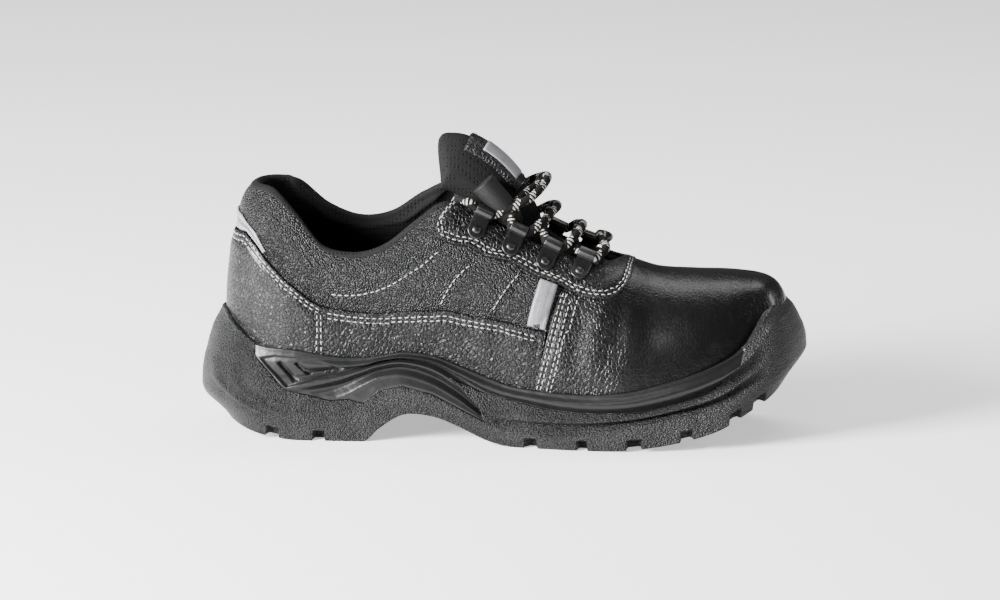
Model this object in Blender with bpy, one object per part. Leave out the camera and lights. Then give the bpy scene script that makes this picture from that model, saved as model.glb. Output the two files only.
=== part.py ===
"""Low safety sneaker, right shoe, as an assembly of its pieces.

Metres, +Z up. The toe points along +X and the lateral (outer) side faces -Y. The origin is on the floor,
under the middle of the shoe's length and width. The tables below hold shares of the named sizes.
"""

import math

import bmesh
import bpy
import numpy as np
from mathutils import Matrix, Vector

# Driving sizes
SHOE_LENGTH = 0.302      # heel cup to toe bumper
BALL_WIDTH = 0.106       # across the sole at the ball of the foot
SEAT_HEIGHT = 0.035      # foot bed above the floor, at the heel
COLLAR_HEIGHT = 0.122    # top of the heel collar above the floor
TONGUE_HEIGHT = 0.147    # top of the tongue above the floor

# Walls and clearances
GAP = 0.0003             # between pieces that touch
LINING_WALL = 0.0022     # lining and foam of the upper
LEATHER = 0.0012         # leather laid over the lining
SOLE_FIT = 0.0003        # leather to sole cup
INSOLE_THICKNESS = 0.0040
COLLAR_PADDING = 0.0055  # extra foam inside the collar
COLLAR_PUFF = 0.0022     # how far the collar roll stands out
PAD_PUFF = 0.0016        # how far each side pad stands out

# Tread
GROOVE_DEPTH = 0.0042

# Lace and its hooks
LACE_DIAMETER = 0.0042
HOOK_WIDTH = 0.0086
HOOK_PLATE = 0.0010
TUBE_RADIUS = 0.0029
TUBE_BORE = 0.0023
RIVET_RADIUS = 0.0024
RIVET_HEIGHT = 0.0008

RING_STEPS = 2           # mesh columns for each row of a section table
RIB_ROWS = 9             # mesh rows from feather edge to topline

# The width is a little more on the lateral side, so the heel-to-toe line lies off the middle
AXIS_Y = 0.0012

PARTS_COLLECTION = "safety_sneaker"
CUTTERS_COLLECTION = "cutters"


def table(names, rows):
    """Named columns of a table of rows."""
    return dict(zip(names.split(), np.array(rows, float).T))


# Sole sections from heel to toe. along, lateral and medial are shares of length and ball width; the
# heights of the side's steps, bottom to lip, are shares of the seat height; kick and lean (mm) draw the
# tread edge and the lip inwards at heel and toe.
SOLE = table(
    "along lateral medial tread lug step groove rib fold band lip kick lean",
    [
        (0.000, 0.000, 0.000, 0.286, 0.486, 0.686, 0.829, 0.971, 1.171, 1.429, 1.714, 6.0, 8.0),
        (0.017, 0.160, 0.160, 0.271, 0.486, 0.686, 0.829, 0.971, 1.171, 1.400, 1.686, 5.5, 7.0),
        (0.050, 0.264, 0.264, 0.186, 0.471, 0.657, 0.800, 0.943, 1.114, 1.314, 1.543, 3.0, 4.0),
        (0.099, 0.330, 0.325, 0.071, 0.400, 0.571, 0.729, 0.829, 0.971, 1.114, 1.314, 1.0, 1.5),
        (0.166, 0.358, 0.349, 0.000, 0.343, 0.514, 0.686, 0.800, 0.943, 1.100, 1.271, 0.0, 0.0),
        (0.232, 0.363, 0.352, 0.000, 0.329, 0.586, 0.771, 0.900, 1.000, 1.086, 1.186, 0.0, 0.0),
        (0.278, 0.363, 0.347, 0.000, 0.543, 0.800, 0.929, 1.029, 1.077, 1.114, 1.180, 0.0, 0.0),
        (0.305, 0.363, 0.340, 0.200, 0.743, 0.914, 1.014, 1.109, 1.151, 1.180, 1.214, 0.0, 0.0),
        (0.344, 0.366, 0.335, 0.400, 0.814, 0.957, 1.057, 1.157, 1.200, 1.229, 1.271, 0.0, 0.0),
        (0.391, 0.373, 0.330, 0.386, 0.714, 0.843, 0.943, 1.071, 1.143, 1.186, 1.229, 0.0, 0.0),
        (0.434, 0.387, 0.330, 0.257, 0.529, 0.643, 0.729, 0.857, 0.957, 1.029, 1.100, 0.0, 0.0),
        (0.483, 0.408, 0.346, 0.071, 0.329, 0.371, 0.414, 0.486, 0.743, 0.843, 0.943, 0.0, 0.0),
        (0.530, 0.434, 0.368, 0.000, 0.214, 0.271, 0.329, 0.429, 0.643, 0.743, 0.829, 0.0, 0.0),
        (0.623, 0.479, 0.430, 0.000, 0.200, 0.271, 0.343, 0.414, 0.514, 0.657, 0.771, 0.0, 0.0),
        (0.712, 0.500, 0.472, 0.023, 0.357, 0.391, 0.429, 0.471, 0.537, 0.686, 0.823, 0.0, 0.0),
        (0.795, 0.476, 0.476, 0.123, 0.486, 0.529, 0.571, 0.614, 0.680, 0.843, 0.994, 0.0, 0.0),
        (0.861, 0.425, 0.453, 0.271, 0.614, 0.657, 0.714, 0.786, 0.886, 1.029, 1.180, 0.0, 0.5),
        (0.911, 0.358, 0.410, 0.486, 0.800, 0.857, 0.929, 1.029, 1.143, 1.271, 1.400, 0.5, 2.0),
        (0.954, 0.255, 0.330, 0.671, 0.943, 1.029, 1.143, 1.286, 1.457, 1.614, 1.786, 1.5, 5.0),
        (0.983, 0.123, 0.226, 0.857, 1.086, 1.200, 1.314, 1.429, 1.600, 1.743, 1.900, 2.5, 7.5),
        (1.000, -0.057, 0.057, 1.000, 1.171, 1.286, 1.400, 1.514, 1.657, 1.800, 1.943, 3.0, 8.5),
    ],
)

# How far each step of the sole's side lies inside its outline
SIDE_STEPS = (
    ("tread", 0.0014),
    ("lug", 0.0000),
    ("step", 0.0012),
    ("groove", 0.0028),
    ("rib", 0.0008),
    ("fold", 0.0024),
    ("band", 0.0006),
    ("lip", 0.0026),
)

# Ribs of the upper from heel to toe. The foot of a rib stands on the feather edge and its head is at the
# topline, the throat or, in front, the ridge. foot_height is a share of the seat height and the head
# heights of the collar height. flare, belly, roll (degrees) and crown shape the curve between.
UPPER = table(
    "foot foot_lateral foot_medial foot_height head head_lateral head_medial height_lateral"
    " height_medial flare belly roll crown",
    [
        (0.050, 0.000, 0.000, 1.000, 0.096, 0.000, 0.000, 1.000, 1.000, 0.040, 0.40, 50, 0.24),
        (0.066, 0.142, 0.142, 1.000, 0.103, 0.094, 0.094, 1.000, 1.000, 0.035, 0.40, 48, 0.24),
        (0.106, 0.241, 0.241, 1.000, 0.126, 0.160, 0.160, 0.996, 1.000, 0.030, 0.40, 42, 0.22),
        (0.159, 0.297, 0.288, 1.000, 0.159, 0.208, 0.198, 0.918, 0.984, 0.030, 0.42, 36, 0.20),
        (0.212, 0.306, 0.294, 0.971, 0.205, 0.241, 0.231, 0.783, 0.885, 0.030, 0.42, 34, 0.18),
        (0.265, 0.307, 0.291, 0.943, 0.258, 0.259, 0.250, 0.750, 0.832, 0.030, 0.42, 34, 0.18),
        (0.318, 0.308, 0.279, 0.929, 0.311, 0.259, 0.245, 0.783, 0.852, 0.020, 0.42, 36, 0.18),
        (0.371, 0.313, 0.274, 0.857, 0.364, 0.241, 0.231, 0.889, 0.939, 0.010, 0.42, 42, 0.22),
        (0.417, 0.326, 0.274, 0.800, 0.414, 0.208, 0.203, 0.963, 0.984, 0.000, 0.42, 52, 0.26),
        (0.480, 0.353, 0.291, 0.714, 0.480, 0.190, 0.186, 0.888, 0.896, 0.000, 0.44, 52, 0.30),
        (0.546, 0.387, 0.325, 0.629, 0.546, 0.178, 0.172, 0.805, 0.813, 0.000, 0.46, 52, 0.34),
        (0.613, 0.420, 0.371, 0.571, 0.613, 0.155, 0.152, 0.738, 0.744, 0.000, 0.48, 55, 0.38),
        (0.669, 0.434, 0.396, 0.571, 0.669, 0.106, 0.106, 0.710, 0.712, 0.000, 0.52, 68, 0.46),
        (0.702, 0.443, 0.412, 0.571, 0.702, 0.000, 0.000, 0.704, 0.704, 0.000, 0.54, 88, 0.54),
        (0.755, 0.434, 0.422, 0.600, 0.755, -0.009, 0.009, 0.664, 0.664, 0.000, 0.56, 90, 0.56),
        (0.815, 0.408, 0.411, 0.671, 0.815, -0.019, 0.019, 0.654, 0.654, 0.000, 0.60, 90, 0.60),
        (0.871, 0.335, 0.380, 0.757, 0.861, -0.033, 0.033, 0.650, 0.650, 0.000, 0.66, 90, 0.64),
        (0.917, 0.236, 0.307, 0.843, 0.891, -0.042, 0.042, 0.644, 0.644, 0.000, 0.72, 90, 0.66),
        (0.954, 0.132, 0.217, 0.900, 0.904, -0.047, 0.047, 0.638, 0.638, 0.000, 0.78, 90, 0.70),
        (0.970, -0.047, 0.047, 0.914, 0.911, -0.047, 0.047, 0.635, 0.635, 0.000, 0.82, 90, 0.74),
    ],
)
RIDGE_ROW = 13           # from this row on, both sides' ribs meet at the ridge

# Outlines of the leather pieces seen from the side: share of the length, share of the collar height
COUNTER_OUTLINE = [
    (-0.040, 0.164), (-0.040, 0.811), (0.056, 0.816), (0.083, 0.828), (0.099, 0.795), (0.116, 0.734),
    (0.149, 0.656), (0.182, 0.590), (0.205, 0.553), (0.205, 0.164),
]
QUARTER_OUTLINE = [
    (0.206, 0.164), (0.206, 0.553), (0.238, 0.537), (0.275, 0.529), (0.394, 0.541), (0.480, 0.516),
    (0.530, 0.496), (0.546, 0.475), (0.582, 0.473), (0.555, 0.164),
]
EYESTAY_OUTLINE = [
    (0.421, 1.016), (0.407, 0.926), (0.396, 0.869), (0.401, 0.826), (0.424, 0.806), (0.457, 0.799),
    (0.474, 0.761), (0.513, 0.738), (0.560, 0.676), (0.599, 0.641), (0.632, 0.603), (0.672, 0.588),
    (0.699, 0.600), (0.710, 0.640), (0.715, 0.689), (0.713, 0.779), (0.497, 1.066),
]
VAMP_OUTLINE = [
    (0.557, 0.164), (0.600, 0.637), (0.632, 0.599), (0.672, 0.584), (0.701, 0.595), (0.712, 0.637),
    (0.7165, 0.689), (0.7145, 0.779), (1.060, 0.779), (1.060, 0.164),
]
SIDE_STRIP_OUTLINE = [(0.562, 0.665), (0.594, 0.642), (0.578, 0.478), (0.548, 0.496)]
HEEL_STRIP_OUTLINE = [
    (-0.040, 0.830), (0.052, 0.830), (0.079, 0.846), (0.109, 0.793), (0.119, 0.799), (0.089, 0.877),
    (0.063, 0.902), (-0.040, 0.902),
]
# Smooth part of the sole, with heel panel, waist ribs and forefoot band: its heights are shares of the
# seat height
MIDSOLE_OUTLINE = [
    (0.089, 1.715), (0.096, 1.200), (0.149, 0.715), (0.222, 0.585), (0.252, 0.613), (0.278, 0.558),
    (0.305, 0.750), (0.341, 0.816), (0.391, 0.715), (0.434, 0.530), (0.480, 0.338), (0.461, 0.600),
    (0.440, 0.774), (0.470, 0.760), (0.530, 0.638), (0.576, 0.561), (0.629, 0.520), (0.738, 0.551),
    (0.798, 0.690), (0.844, 0.802), (0.868, 0.941), (0.901, 1.200), (0.907, 1.715), (0.907, 2.440),
    (0.089, 2.440),
]

# Cross grooves between the lugs: share of the length at the middle, share of the length wide
GROOVES = (
    (0.127, 0.015), (0.205, 0.014), (0.553, 0.013), (0.639, 0.012), (0.725, 0.018), (0.811, 0.014),
    (0.889, 0.013), (0.932, 0.013),
)

# Tongue sections from the vamp end to the top: share of length, share of the tongue height, then shares
# of the ball width for half width, arch and padding, and the angle (degrees) that the arch falls back.
TONGUE = table(
    "along height half arch back padding",
    [
        (0.682, 0.575, 0.113, 0.047, 20, 0.028),
        (0.646, 0.600, 0.151, 0.075, 22, 0.034),
        (0.606, 0.638, 0.170, 0.105, 28, 0.042),
        (0.570, 0.690, 0.176, 0.126, 36, 0.052),
        (0.554, 0.765, 0.158, 0.151, 50, 0.066),
        (0.529, 0.855, 0.156, 0.175, 50, 0.076),
        (0.490, 0.935, 0.170, 0.190, 45, 0.080),
        (0.440, 0.990, 0.180, 0.200, 25, 0.075),
        (0.395, 1.000, 0.176, 0.200, 8, 0.060),
    ],
)
TONGUE_COLUMNS = 9
TONGUE_HALF_TURN = math.radians(68)

# Where the lace hooks stand along the throat, as shares of the length
HOOK_STATIONS = (0.459, 0.515, 0.571, 0.628)


def new_object(name, mesh, cutter=False):
    """Put a mesh into the scene as a part, or as a hidden cutter."""
    for polygon in mesh.polygons:
        polygon.use_smooth = True
    mesh.set_sharp_from_angle(angle=math.radians(35))
    item = bpy.data.objects.new(name, mesh)
    bpy.data.collections[CUTTERS_COLLECTION if cutter else PARTS_COLLECTION].objects.link(item)
    if cutter:
        item.hide_render = True
        item.display_type = "WIRE"
    return item


def closed_mesh(name, points, faces):
    """A closed mesh with its faces pointing outwards."""
    mesh = bpy.data.meshes.new(name)
    mesh.from_pydata([tuple(p) for p in points], [], faces)
    work = bmesh.new()
    work.from_mesh(mesh)
    bmesh.ops.recalc_face_normals(work, faces=work.faces)
    work.to_mesh(mesh)
    work.free()
    return mesh


def finish(item, colour, roughness, metallic=0.0):
    """Give a part its own Principled material."""
    material = bpy.data.materials.new(item.name + "_finish")
    material.use_nodes = True
    shader = material.node_tree.nodes["Principled BSDF"]
    shader.inputs["Base Color"].default_value = (*colour, 1.0)
    shader.inputs["Roughness"].default_value = roughness
    shader.inputs["Metallic"].default_value = metallic
    item.data.materials.clear()
    item.data.materials.append(material)
    return item


def boolean(item, operand, operation):
    """Cut, keep or join with another solid."""
    modifier = item.modifiers.new(operand.name, "BOOLEAN")
    modifier.operation = operation
    modifier.solver = "EXACT"
    modifier.object = operand
    return item


def solid_from_curve(name, curve, place, cutter=False):
    """Make a curve's solid a mesh in place, with its caps welded."""
    guide = bpy.data.objects.new(name + "_guide", curve)
    bpy.data.collections[PARTS_COLLECTION].objects.link(guide)
    guide.matrix_world = place
    bpy.context.view_layer.update()
    seen = guide.evaluated_get(bpy.context.evaluated_depsgraph_get())
    mesh = bpy.data.meshes.new_from_object(seen)
    mesh.name = name
    work = bmesh.new()
    work.from_mesh(mesh)
    bmesh.ops.remove_doubles(work, verts=work.verts, dist=0.00001)
    bmesh.ops.recalc_face_normals(work, faces=work.faces)
    work.to_mesh(mesh)
    work.free()
    item = new_object(name, mesh, cutter)
    item.matrix_world = guide.matrix_world.copy()
    bpy.data.objects.remove(guide)
    return item


def flat_curve(name, outlines, half_thickness):
    """A flat filled outline, or several, as a 2D curve with thickness."""
    curve = bpy.data.curves.new(name, "CURVE")
    curve.dimensions = "2D"
    curve.fill_mode = "BOTH"
    curve.extrude = half_thickness
    for outline in outlines:
        line = curve.splines.new("POLY")
        line.points.add(len(outline) - 1)
        for point, (x, y) in zip(line.points, outline):
            point.co = (x, y, 0.0, 1.0)
        line.use_cyclic_u = True
    return curve


SIDE_VIEW = Matrix(((1, 0, 0, 0), (0, 0, -1, 0), (0, 1, 0, 0), (0, 0, 0, 1)))


def side_cutter(name, outline, near, far, height=COLLAR_HEIGHT, grow=0.0):
    """A prism through the shoe with a side-view outline, from one distance off the axis to another."""
    shape = np.array([(x * SHOE_LENGTH - SHOE_LENGTH / 2, z * height) for x, z in outline])
    ahead = np.roll(shape, -1, axis=0) - shape
    ahead /= np.linalg.norm(ahead, axis=1)[:, None]
    behind = np.roll(ahead, 1, axis=0)
    area = np.sum(shape[:, 0] * np.roll(shape[:, 1], -1) - shape[:, 1] * np.roll(shape[:, 0], -1))
    away = np.stack([ahead[:, 1] + behind[:, 1], -ahead[:, 0] - behind[:, 0]], axis=1)
    away /= 1 + np.sum(ahead * behind, axis=1)[:, None]
    shape = shape + math.copysign(grow, area) * away
    curve = flat_curve(name, [shape], abs(far - near) / 2)
    place = Matrix.Translation((0.0, (near + far) / 2, 0.0)) @ SIDE_VIEW
    return solid_from_curve(name, curve, place, cutter=True)


def ring(lateral, medial):
    """A column carried round the shoe, down the lateral side and back up the medial one, on a smooth curve."""
    knots = np.concatenate([lateral, medial[-2:0:-1]])
    before = np.roll(knots, 1)
    after = np.roll(knots, -1)
    beyond = np.roll(knots, -2)
    f = (np.arange(RING_STEPS) / RING_STEPS)[None, :]
    k, b, a, c = (v[:, None] for v in (knots, before, after, beyond))
    curve = 2 * k + (a - b) * f + (2 * b - 5 * k + 4 * a - c) * f**2 + (3 * k - 3 * a + c - b) * f**3
    return (curve / 2).ravel()


def even(column):
    """A column that both sides share, carried round the shoe."""
    return ring(column, column)


def outward(x, y):
    """Unit vectors that point out of a closed plan outline."""
    dx = np.roll(x, -1) - np.roll(x, 1)
    dy = np.roll(y, -1) - np.roll(y, 1)
    length = np.hypot(dx, dy)
    return np.stack([dy / length, -dx / length], axis=1)


def ladder(ids):
    """Triangles across a closed ring, between each lateral point and the medial point beside it."""
    count = len(ids)
    faces = []
    for i in range(count // 2):
        a, b = ids[i], ids[i + 1]
        c, d = ids[(count - i - 1) % count], ids[(count - i) % count]
        if b != c:
            faces.append((a, b, c))
        if a != d:
            faces.append((a, c, d))
    return faces


def band(lower, upper):
    """Triangles between two closed rings of the same count."""
    faces = []
    for i in range(len(lower)):
        j = (i + 1) % len(lower)
        faces.append((lower[i], lower[j], upper[j]))
        faces.append((lower[i], upper[j], upper[i]))
    return faces


def stacked_rings(name, rings, cutter=False):
    """A closed solid through rings from bottom to top, closed by a ladder at each end."""
    count = len(rings[0])
    ids = [np.arange(count) + k * count for k in range(len(rings))]
    faces = ladder(ids[0]) + ladder(ids[-1])
    for lower, upper in zip(ids, ids[1:]):
        faces += band(lower, upper)
    faces = [tuple(int(v) for v in face) for face in faces]
    return new_object(name, closed_mesh(name, np.concatenate(rings), faces), cutter)


# Upper: the ribs carried round the shoe
MM = 0.001
foot_x = even(UPPER["foot"]) * SHOE_LENGTH - SHOE_LENGTH / 2
foot_y = ring(-UPPER["foot_lateral"], UPPER["foot_medial"]) * BALL_WIDTH + AXIS_Y
foot_z = even(UPPER["foot_height"]) * SEAT_HEIGHT
head_x = even(UPPER["head"]) * SHOE_LENGTH - SHOE_LENGTH / 2
head_y = ring(-UPPER["head_lateral"], UPPER["head_medial"]) * BALL_WIDTH + AXIS_Y
head_z = ring(UPPER["height_lateral"], UPPER["height_medial"]) * COLLAR_HEIGHT
rib_flare = even(UPPER["flare"])
rib_belly = even(UPPER["belly"])
rib_roll = np.radians(even(UPPER["roll"]))
rib_crown = even(UPPER["crown"])
COLUMNS = len(foot_x)
RIDGE_START = RIDGE_ROW * RING_STEPS
partner = (COLUMNS - np.arange(COLUMNS)) % COLUMNS
on_ridge = (np.arange(COLUMNS) >= RIDGE_START) & (np.arange(COLUMNS) <= COLUMNS - RIDGE_START)
for head in (head_x, head_y, head_z):
    head[on_ridge] = (head[on_ridge] + head[partner][on_ridge]) / 2


def rib_points(column, rise):
    """Points of the ribs: a cubic curve that stands up from the foot and rolls in to the head."""
    at = np.arange(COLUMNS + 1)
    values = (foot_x, foot_y, foot_z, head_x, head_y, head_z, rib_flare, rib_belly, rib_roll, rib_crown)
    fx, fy, fz, hx, hy, hz, flare, belly, roll, crown = (
        np.interp(column, at, np.append(value, value[0])) for value in values
    )
    reach = np.hypot(fx - hx, fy - hy)
    out_x, out_y = (fx - hx) / reach, (fy - hy) / reach
    height = hz - fz
    hang = crown * (reach * np.sin(roll) + height * np.cos(roll))
    t = rise
    weights = ((1 - t) ** 3, 3 * (1 - t) ** 2 * t, 3 * (1 - t) * t**2, t**3)
    low = flare * height
    away = hang * np.sin(roll)
    xs = (fx, fx + out_x * low, hx + out_x * away, hx)
    ys = (fy, fy + out_y * low, hy + out_y * away, hy)
    zs = (fz, fz + belly * height, hz - hang * np.cos(roll), hz)
    return np.stack([sum(w * v for w, v in zip(weights, axis)) for axis in (xs, ys, zs)], axis=-1)


grid_columns, grid_rises = np.meshgrid(np.arange(COLUMNS), np.linspace(0, 1, RIB_ROWS), indexing="ij")
grid = rib_points(grid_columns, grid_rises)
grid_ids = np.arange(COLUMNS * RIB_ROWS).reshape(COLUMNS, RIB_ROWS)
for i in range(RIDGE_START, COLUMNS // 2):
    grid_ids[(COLUMNS - i) % COLUMNS, -1] = grid_ids[i, -1]
used = np.unique(grid_ids)
sheet_ids = np.searchsorted(used, grid_ids)


def bump(value, low, high):
    """A smooth rise and fall between two limits."""
    share = np.clip((value - low) / (high - low), 0, 1)
    return np.sin(np.pi * share) ** 2


def sheet_faces():
    """Triangles of the open sheet from feather edge to topline."""
    faces = []
    for i in range(COLUMNS):
        j = (i + 1) % COLUMNS
        for r in range(RIB_ROWS - 1):
            a, b, c, d = sheet_ids[i, r], sheet_ids[j, r], sheet_ids[j, r + 1], sheet_ids[i, r + 1]
            faces.append((a, b, c))
            faces.append((a, c, d))
    return [tuple(int(v) for v in face) for face in faces]


def sheet_normals(points, faces):
    """Outward normal of the sheet at each point."""
    corners = points[np.array(faces)]
    area = np.cross(corners[:, 1] - corners[:, 0], corners[:, 2] - corners[:, 0])
    normals = np.zeros_like(points)
    for k in range(3):
        np.add.at(normals, np.array(faces)[:, k], area)
    return normals / np.linalg.norm(normals, axis=1)[:, None]


SHEET_FACES = sheet_faces()
bare_sheet = grid.reshape(-1, 3)[used]
bare_normals = sheet_normals(bare_sheet, SHEET_FACES)

# Steps of the wall: the collar roll and the side pads stand out, and the collar is padded inside
along = (bare_sheet[:, 0] + SHOE_LENGTH / 2) / SHOE_LENGTH
up = bare_sheet[:, 2] / COLLAR_HEIGHT
COLLAR_SEAM = table(
    "along height top",
    [
        (0.00, 0.87, 1.03), (0.08, 0.86, 1.03), (0.14, 0.76, 0.98), (0.21, 0.61, 0.80),
        (0.27, 0.60, 0.77), (0.33, 0.65, 0.80), (0.38, 0.74, 0.90), (0.42, 0.84, 0.98),
    ],
)
PAD_SEAMS = (0.335, 0.425, 0.500, 0.560)  # along the quarter's top edge, leaning forwards as they rise
PAD_LEAN = 0.30
PAD_BOTTOM = 0.535
seam_height = np.interp(along, COLLAR_SEAM["along"], COLLAR_SEAM["height"])
roll_top = np.interp(along, COLLAR_SEAM["along"], COLLAR_SEAM["top"])
collar_fade = np.clip((0.43 - along) / 0.05, 0, 1)
collar_rise = np.clip((up - seam_height) / (roll_top + 0.03 - seam_height), 0, 1)
collar_puff = COLLAR_PUFF * collar_fade * np.sin(np.pi * collar_rise) ** 0.8
pad_along = along - PAD_LEAN * (up - PAD_BOTTOM)
pad_top = np.interp(along, [0.30, 0.42, 0.46, 0.60], [0.62, 0.80, 0.77, 0.62])
pad_puff = PAD_PUFF * bump(up, PAD_BOTTOM - 0.03, pad_top + 0.03)
pad_puff *= sum(bump(pad_along, low, high) ** 0.5 for low, high in zip(PAD_SEAMS, PAD_SEAMS[1:]))
upper_sheet = bare_sheet + bare_normals * (collar_puff + pad_puff)[:, None]
upper_normals = sheet_normals(upper_sheet, SHEET_FACES)
rise_at = grid_rises.ravel()[used]
padding = COLLAR_PADDING * collar_fade * bump(rise_at, 0.42, 1.12)


def skin(name, outside, inside):
    """A closed wall between two distances from the upper's sheet."""
    count = len(upper_sheet)
    points = np.concatenate([
        upper_sheet + upper_normals * np.broadcast_to(outside, count)[:, None],
        upper_sheet + upper_normals * np.broadcast_to(inside, count)[:, None],
    ])
    faces = list(SHEET_FACES) + [(a + count, c + count, b + count) for a, b, c in SHEET_FACES]
    edges = {}
    for a, b, c in SHEET_FACES:
        for edge in ((a, b), (b, c), (c, a)):
            edges[edge] = True
    for a, b in list(edges):
        if (b, a) not in edges:
            faces.append((b, a, a + count))
            faces.append((b, a + count, b + count))
    return closed_mesh(name, points, faces)


def last_form(name, distance, drop):
    """The closed form that the upper fills: its sheet moved outwards, closed above and below."""
    count = len(upper_sheet)
    points = upper_sheet + upper_normals * distance
    feet = sheet_ids[:, 0]
    floor_ring = points[feet] - np.array([0.0, 0.0, drop])
    points = np.concatenate([points, floor_ring])
    floor_ids = np.arange(COLUMNS) + count
    faces = list(SHEET_FACES) + band(floor_ids, feet) + ladder(floor_ids)
    heads = sheet_ids[:, -1]
    for i in range(RIDGE_START):
        a, b = heads[i], heads[i + 1]
        c, d = heads[(COLUMNS - i - 1) % COLUMNS], heads[(COLUMNS - i) % COLUMNS]
        if b != c:
            faces.append((a, b, c))
        if a != d:
            faces.append((a, c, d))
    faces = [tuple(int(v) for v in face) for face in faces]
    return new_object(name, closed_mesh(name, points, faces), cutter=True)


def make_upper():
    """The hollow lining and padding of the upper."""
    return new_object("upper", skin("upper", 0.0, -(LINING_WALL + padding)))


def leather_piece(name, outline, near, far):
    """A leather overlay: the skin over the lining inside a side-view outline."""
    item = new_object(name, skin(name, GAP + LEATHER, GAP))
    return boolean(item, side_cutter(name + "_outline", outline, near, far), "INTERSECT")


# Sole: rings that follow the steps of its side
sole_x = even(SOLE["along"]) * SHOE_LENGTH - SHOE_LENGTH / 2
sole_y = ring(-SOLE["lateral"], SOLE["medial"]) * BALL_WIDTH + AXIS_Y
sole_out = outward(sole_x, sole_y)
sole_kick = np.maximum(even(SOLE["kick"]), 0) * MM
sole_lean = np.maximum(even(SOLE["lean"]), 0) * MM


def side_ring(step, inset):
    """One ring of the sole's side at the height of a named step."""
    z = np.maximum(even(SOLE[step]), 0) * SEAT_HEIGHT
    middle = even(SOLE["groove"]) * SEAT_HEIGHT
    lip = even(SOLE["lip"]) * SEAT_HEIGHT
    lean = sole_lean * np.clip((z - middle) / (lip - middle), 0, 1) ** 1.4
    kick = sole_kick if step == "tread" else 0.0
    shift = inset + lean + kick
    return np.stack([sole_x - sole_out[:, 0] * shift, sole_y - sole_out[:, 1] * shift, z], axis=1)


def tread_height(share):
    """Height of the tread above the floor at a share of the length."""
    return max(0.0, float(np.interp(share, SOLE["along"], SOLE["tread"]))) * SEAT_HEIGHT


def make_sole(name):
    """The whole sole with the cup that the upper stands in."""
    item = stacked_rings(name, [side_ring(step, inset) for step, inset in SIDE_STEPS])
    return boolean(item, bpy.data.objects["foot_cup"], "DIFFERENCE")


def make_grooves():
    """Bars that cut the cross grooves between the lugs, all in one cutter."""
    work = bmesh.new()
    for middle, width in GROOVES:
        top = tread_height(middle) + GROOVE_DEPTH
        bottom = -2 * GROOVE_DEPTH
        size = (width * SHOE_LENGTH, 1.4 * BALL_WIDTH, top - bottom)
        centre = ((middle - 0.5) * SHOE_LENGTH, 0.0, (top + bottom) / 2)
        place = Matrix.Translation(centre) @ Matrix.Diagonal((*size, 1.0))
        bmesh.ops.create_cube(work, size=1.0, matrix=place)
    mesh = bpy.data.meshes.new("grooves")
    work.to_mesh(mesh)
    work.free()
    return new_object("grooves", mesh, cutter=True)


def make_insole():
    """The board and sock inside the upper, lying on the cup's floor."""
    inside = foot_y * 0 + LINING_WALL + 2 * GAP
    out = outward(foot_x, foot_y)
    plan = np.stack([foot_x - out[:, 0] * inside, foot_y - out[:, 1] * inside], axis=1)
    rings = [np.column_stack([plan, foot_z]), np.column_stack([plan, foot_z + INSOLE_THICKNESS])]
    return stacked_rings("insole", rings)


# Tongue: arched sections from the vamp up to its top
tongue_x = TONGUE["along"] * SHOE_LENGTH - SHOE_LENGTH / 2
tongue_z = TONGUE["height"] * TONGUE_HEIGHT
tongue_half = TONGUE["half"] * BALL_WIDTH
tongue_arch = TONGUE["arch"] * BALL_WIDTH
tongue_back = np.radians(TONGUE["back"])
tongue_padding = TONGUE["padding"] * BALL_WIDTH


def tongue_surface(row, turn, depth):
    """Points of the tongue: an arch that falls back from its middle, at a depth into its padding."""
    at = np.arange(len(tongue_x))
    x, z, half, arch, back, padding_here = (
        np.interp(row, at, value)
        for value in (tongue_x, tongue_z, tongue_half, tongue_arch, tongue_back, tongue_padding)
    )
    inner = 1 - depth * padding_here / (half + padding_here)
    side = half * inner * np.sin(turn) / math.sin(TONGUE_HALF_TURN)
    fall = arch * (1 - np.cos(turn)) / (1 - math.cos(TONGUE_HALF_TURN)) + depth * padding_here
    return np.stack([x - fall * np.sin(back), AXIS_Y + side, z - fall * np.cos(back)], axis=-1)


def arched_solid(name, rows, turns, outer_depth, inner_depth):
    """A closed loft of the tongue's arched sections, between two depths into its padding."""
    loops = []
    for row in rows:
        place = np.full(len(turns), row)
        outer = tongue_surface(place, turns, outer_depth)
        inner = tongue_surface(place, turns[::-1], inner_depth)
        loops.append(np.concatenate([outer, inner]))
    count = 2 * len(turns)
    ids = [np.arange(count) + k * count for k in range(len(loops))]
    faces = []
    for lower, upper in zip(ids, ids[1:]):
        faces += band(lower, upper)
    for loop in (ids[0], ids[-1]):
        for i in range(len(turns) - 1):
            a, b, c, d = loop[i], loop[i + 1], loop[count - 2 - i], loop[count - 1 - i]
            faces += [(a, b, c), (a, c, d)]
    faces = [tuple(int(v) for v in face) for face in faces]
    return new_object(name, closed_mesh(name, np.concatenate(loops), faces))


TONGUE_TURNS = np.linspace(-TONGUE_HALF_TURN, TONGUE_HALF_TURN, TONGUE_COLUMNS)
PATCH_ROWS = (5.0, 5.5, 6.0, 6.5, 6.94)
PATCH_TURNS = TONGUE_TURNS[2:-2]


def make_tongue():
    """The padded tongue."""
    return arched_solid("tongue", np.arange(len(tongue_x)), TONGUE_TURNS, 0.0, 1.0)


def make_tongue_patch():
    """The leather patch on the top of the tongue."""
    least = tongue_padding.min()
    return arched_solid("tongue_patch", PATCH_ROWS, PATCH_TURNS, -(GAP * 1.5 + LEATHER) / least,
                        -GAP * 1.5 / least)


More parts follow.
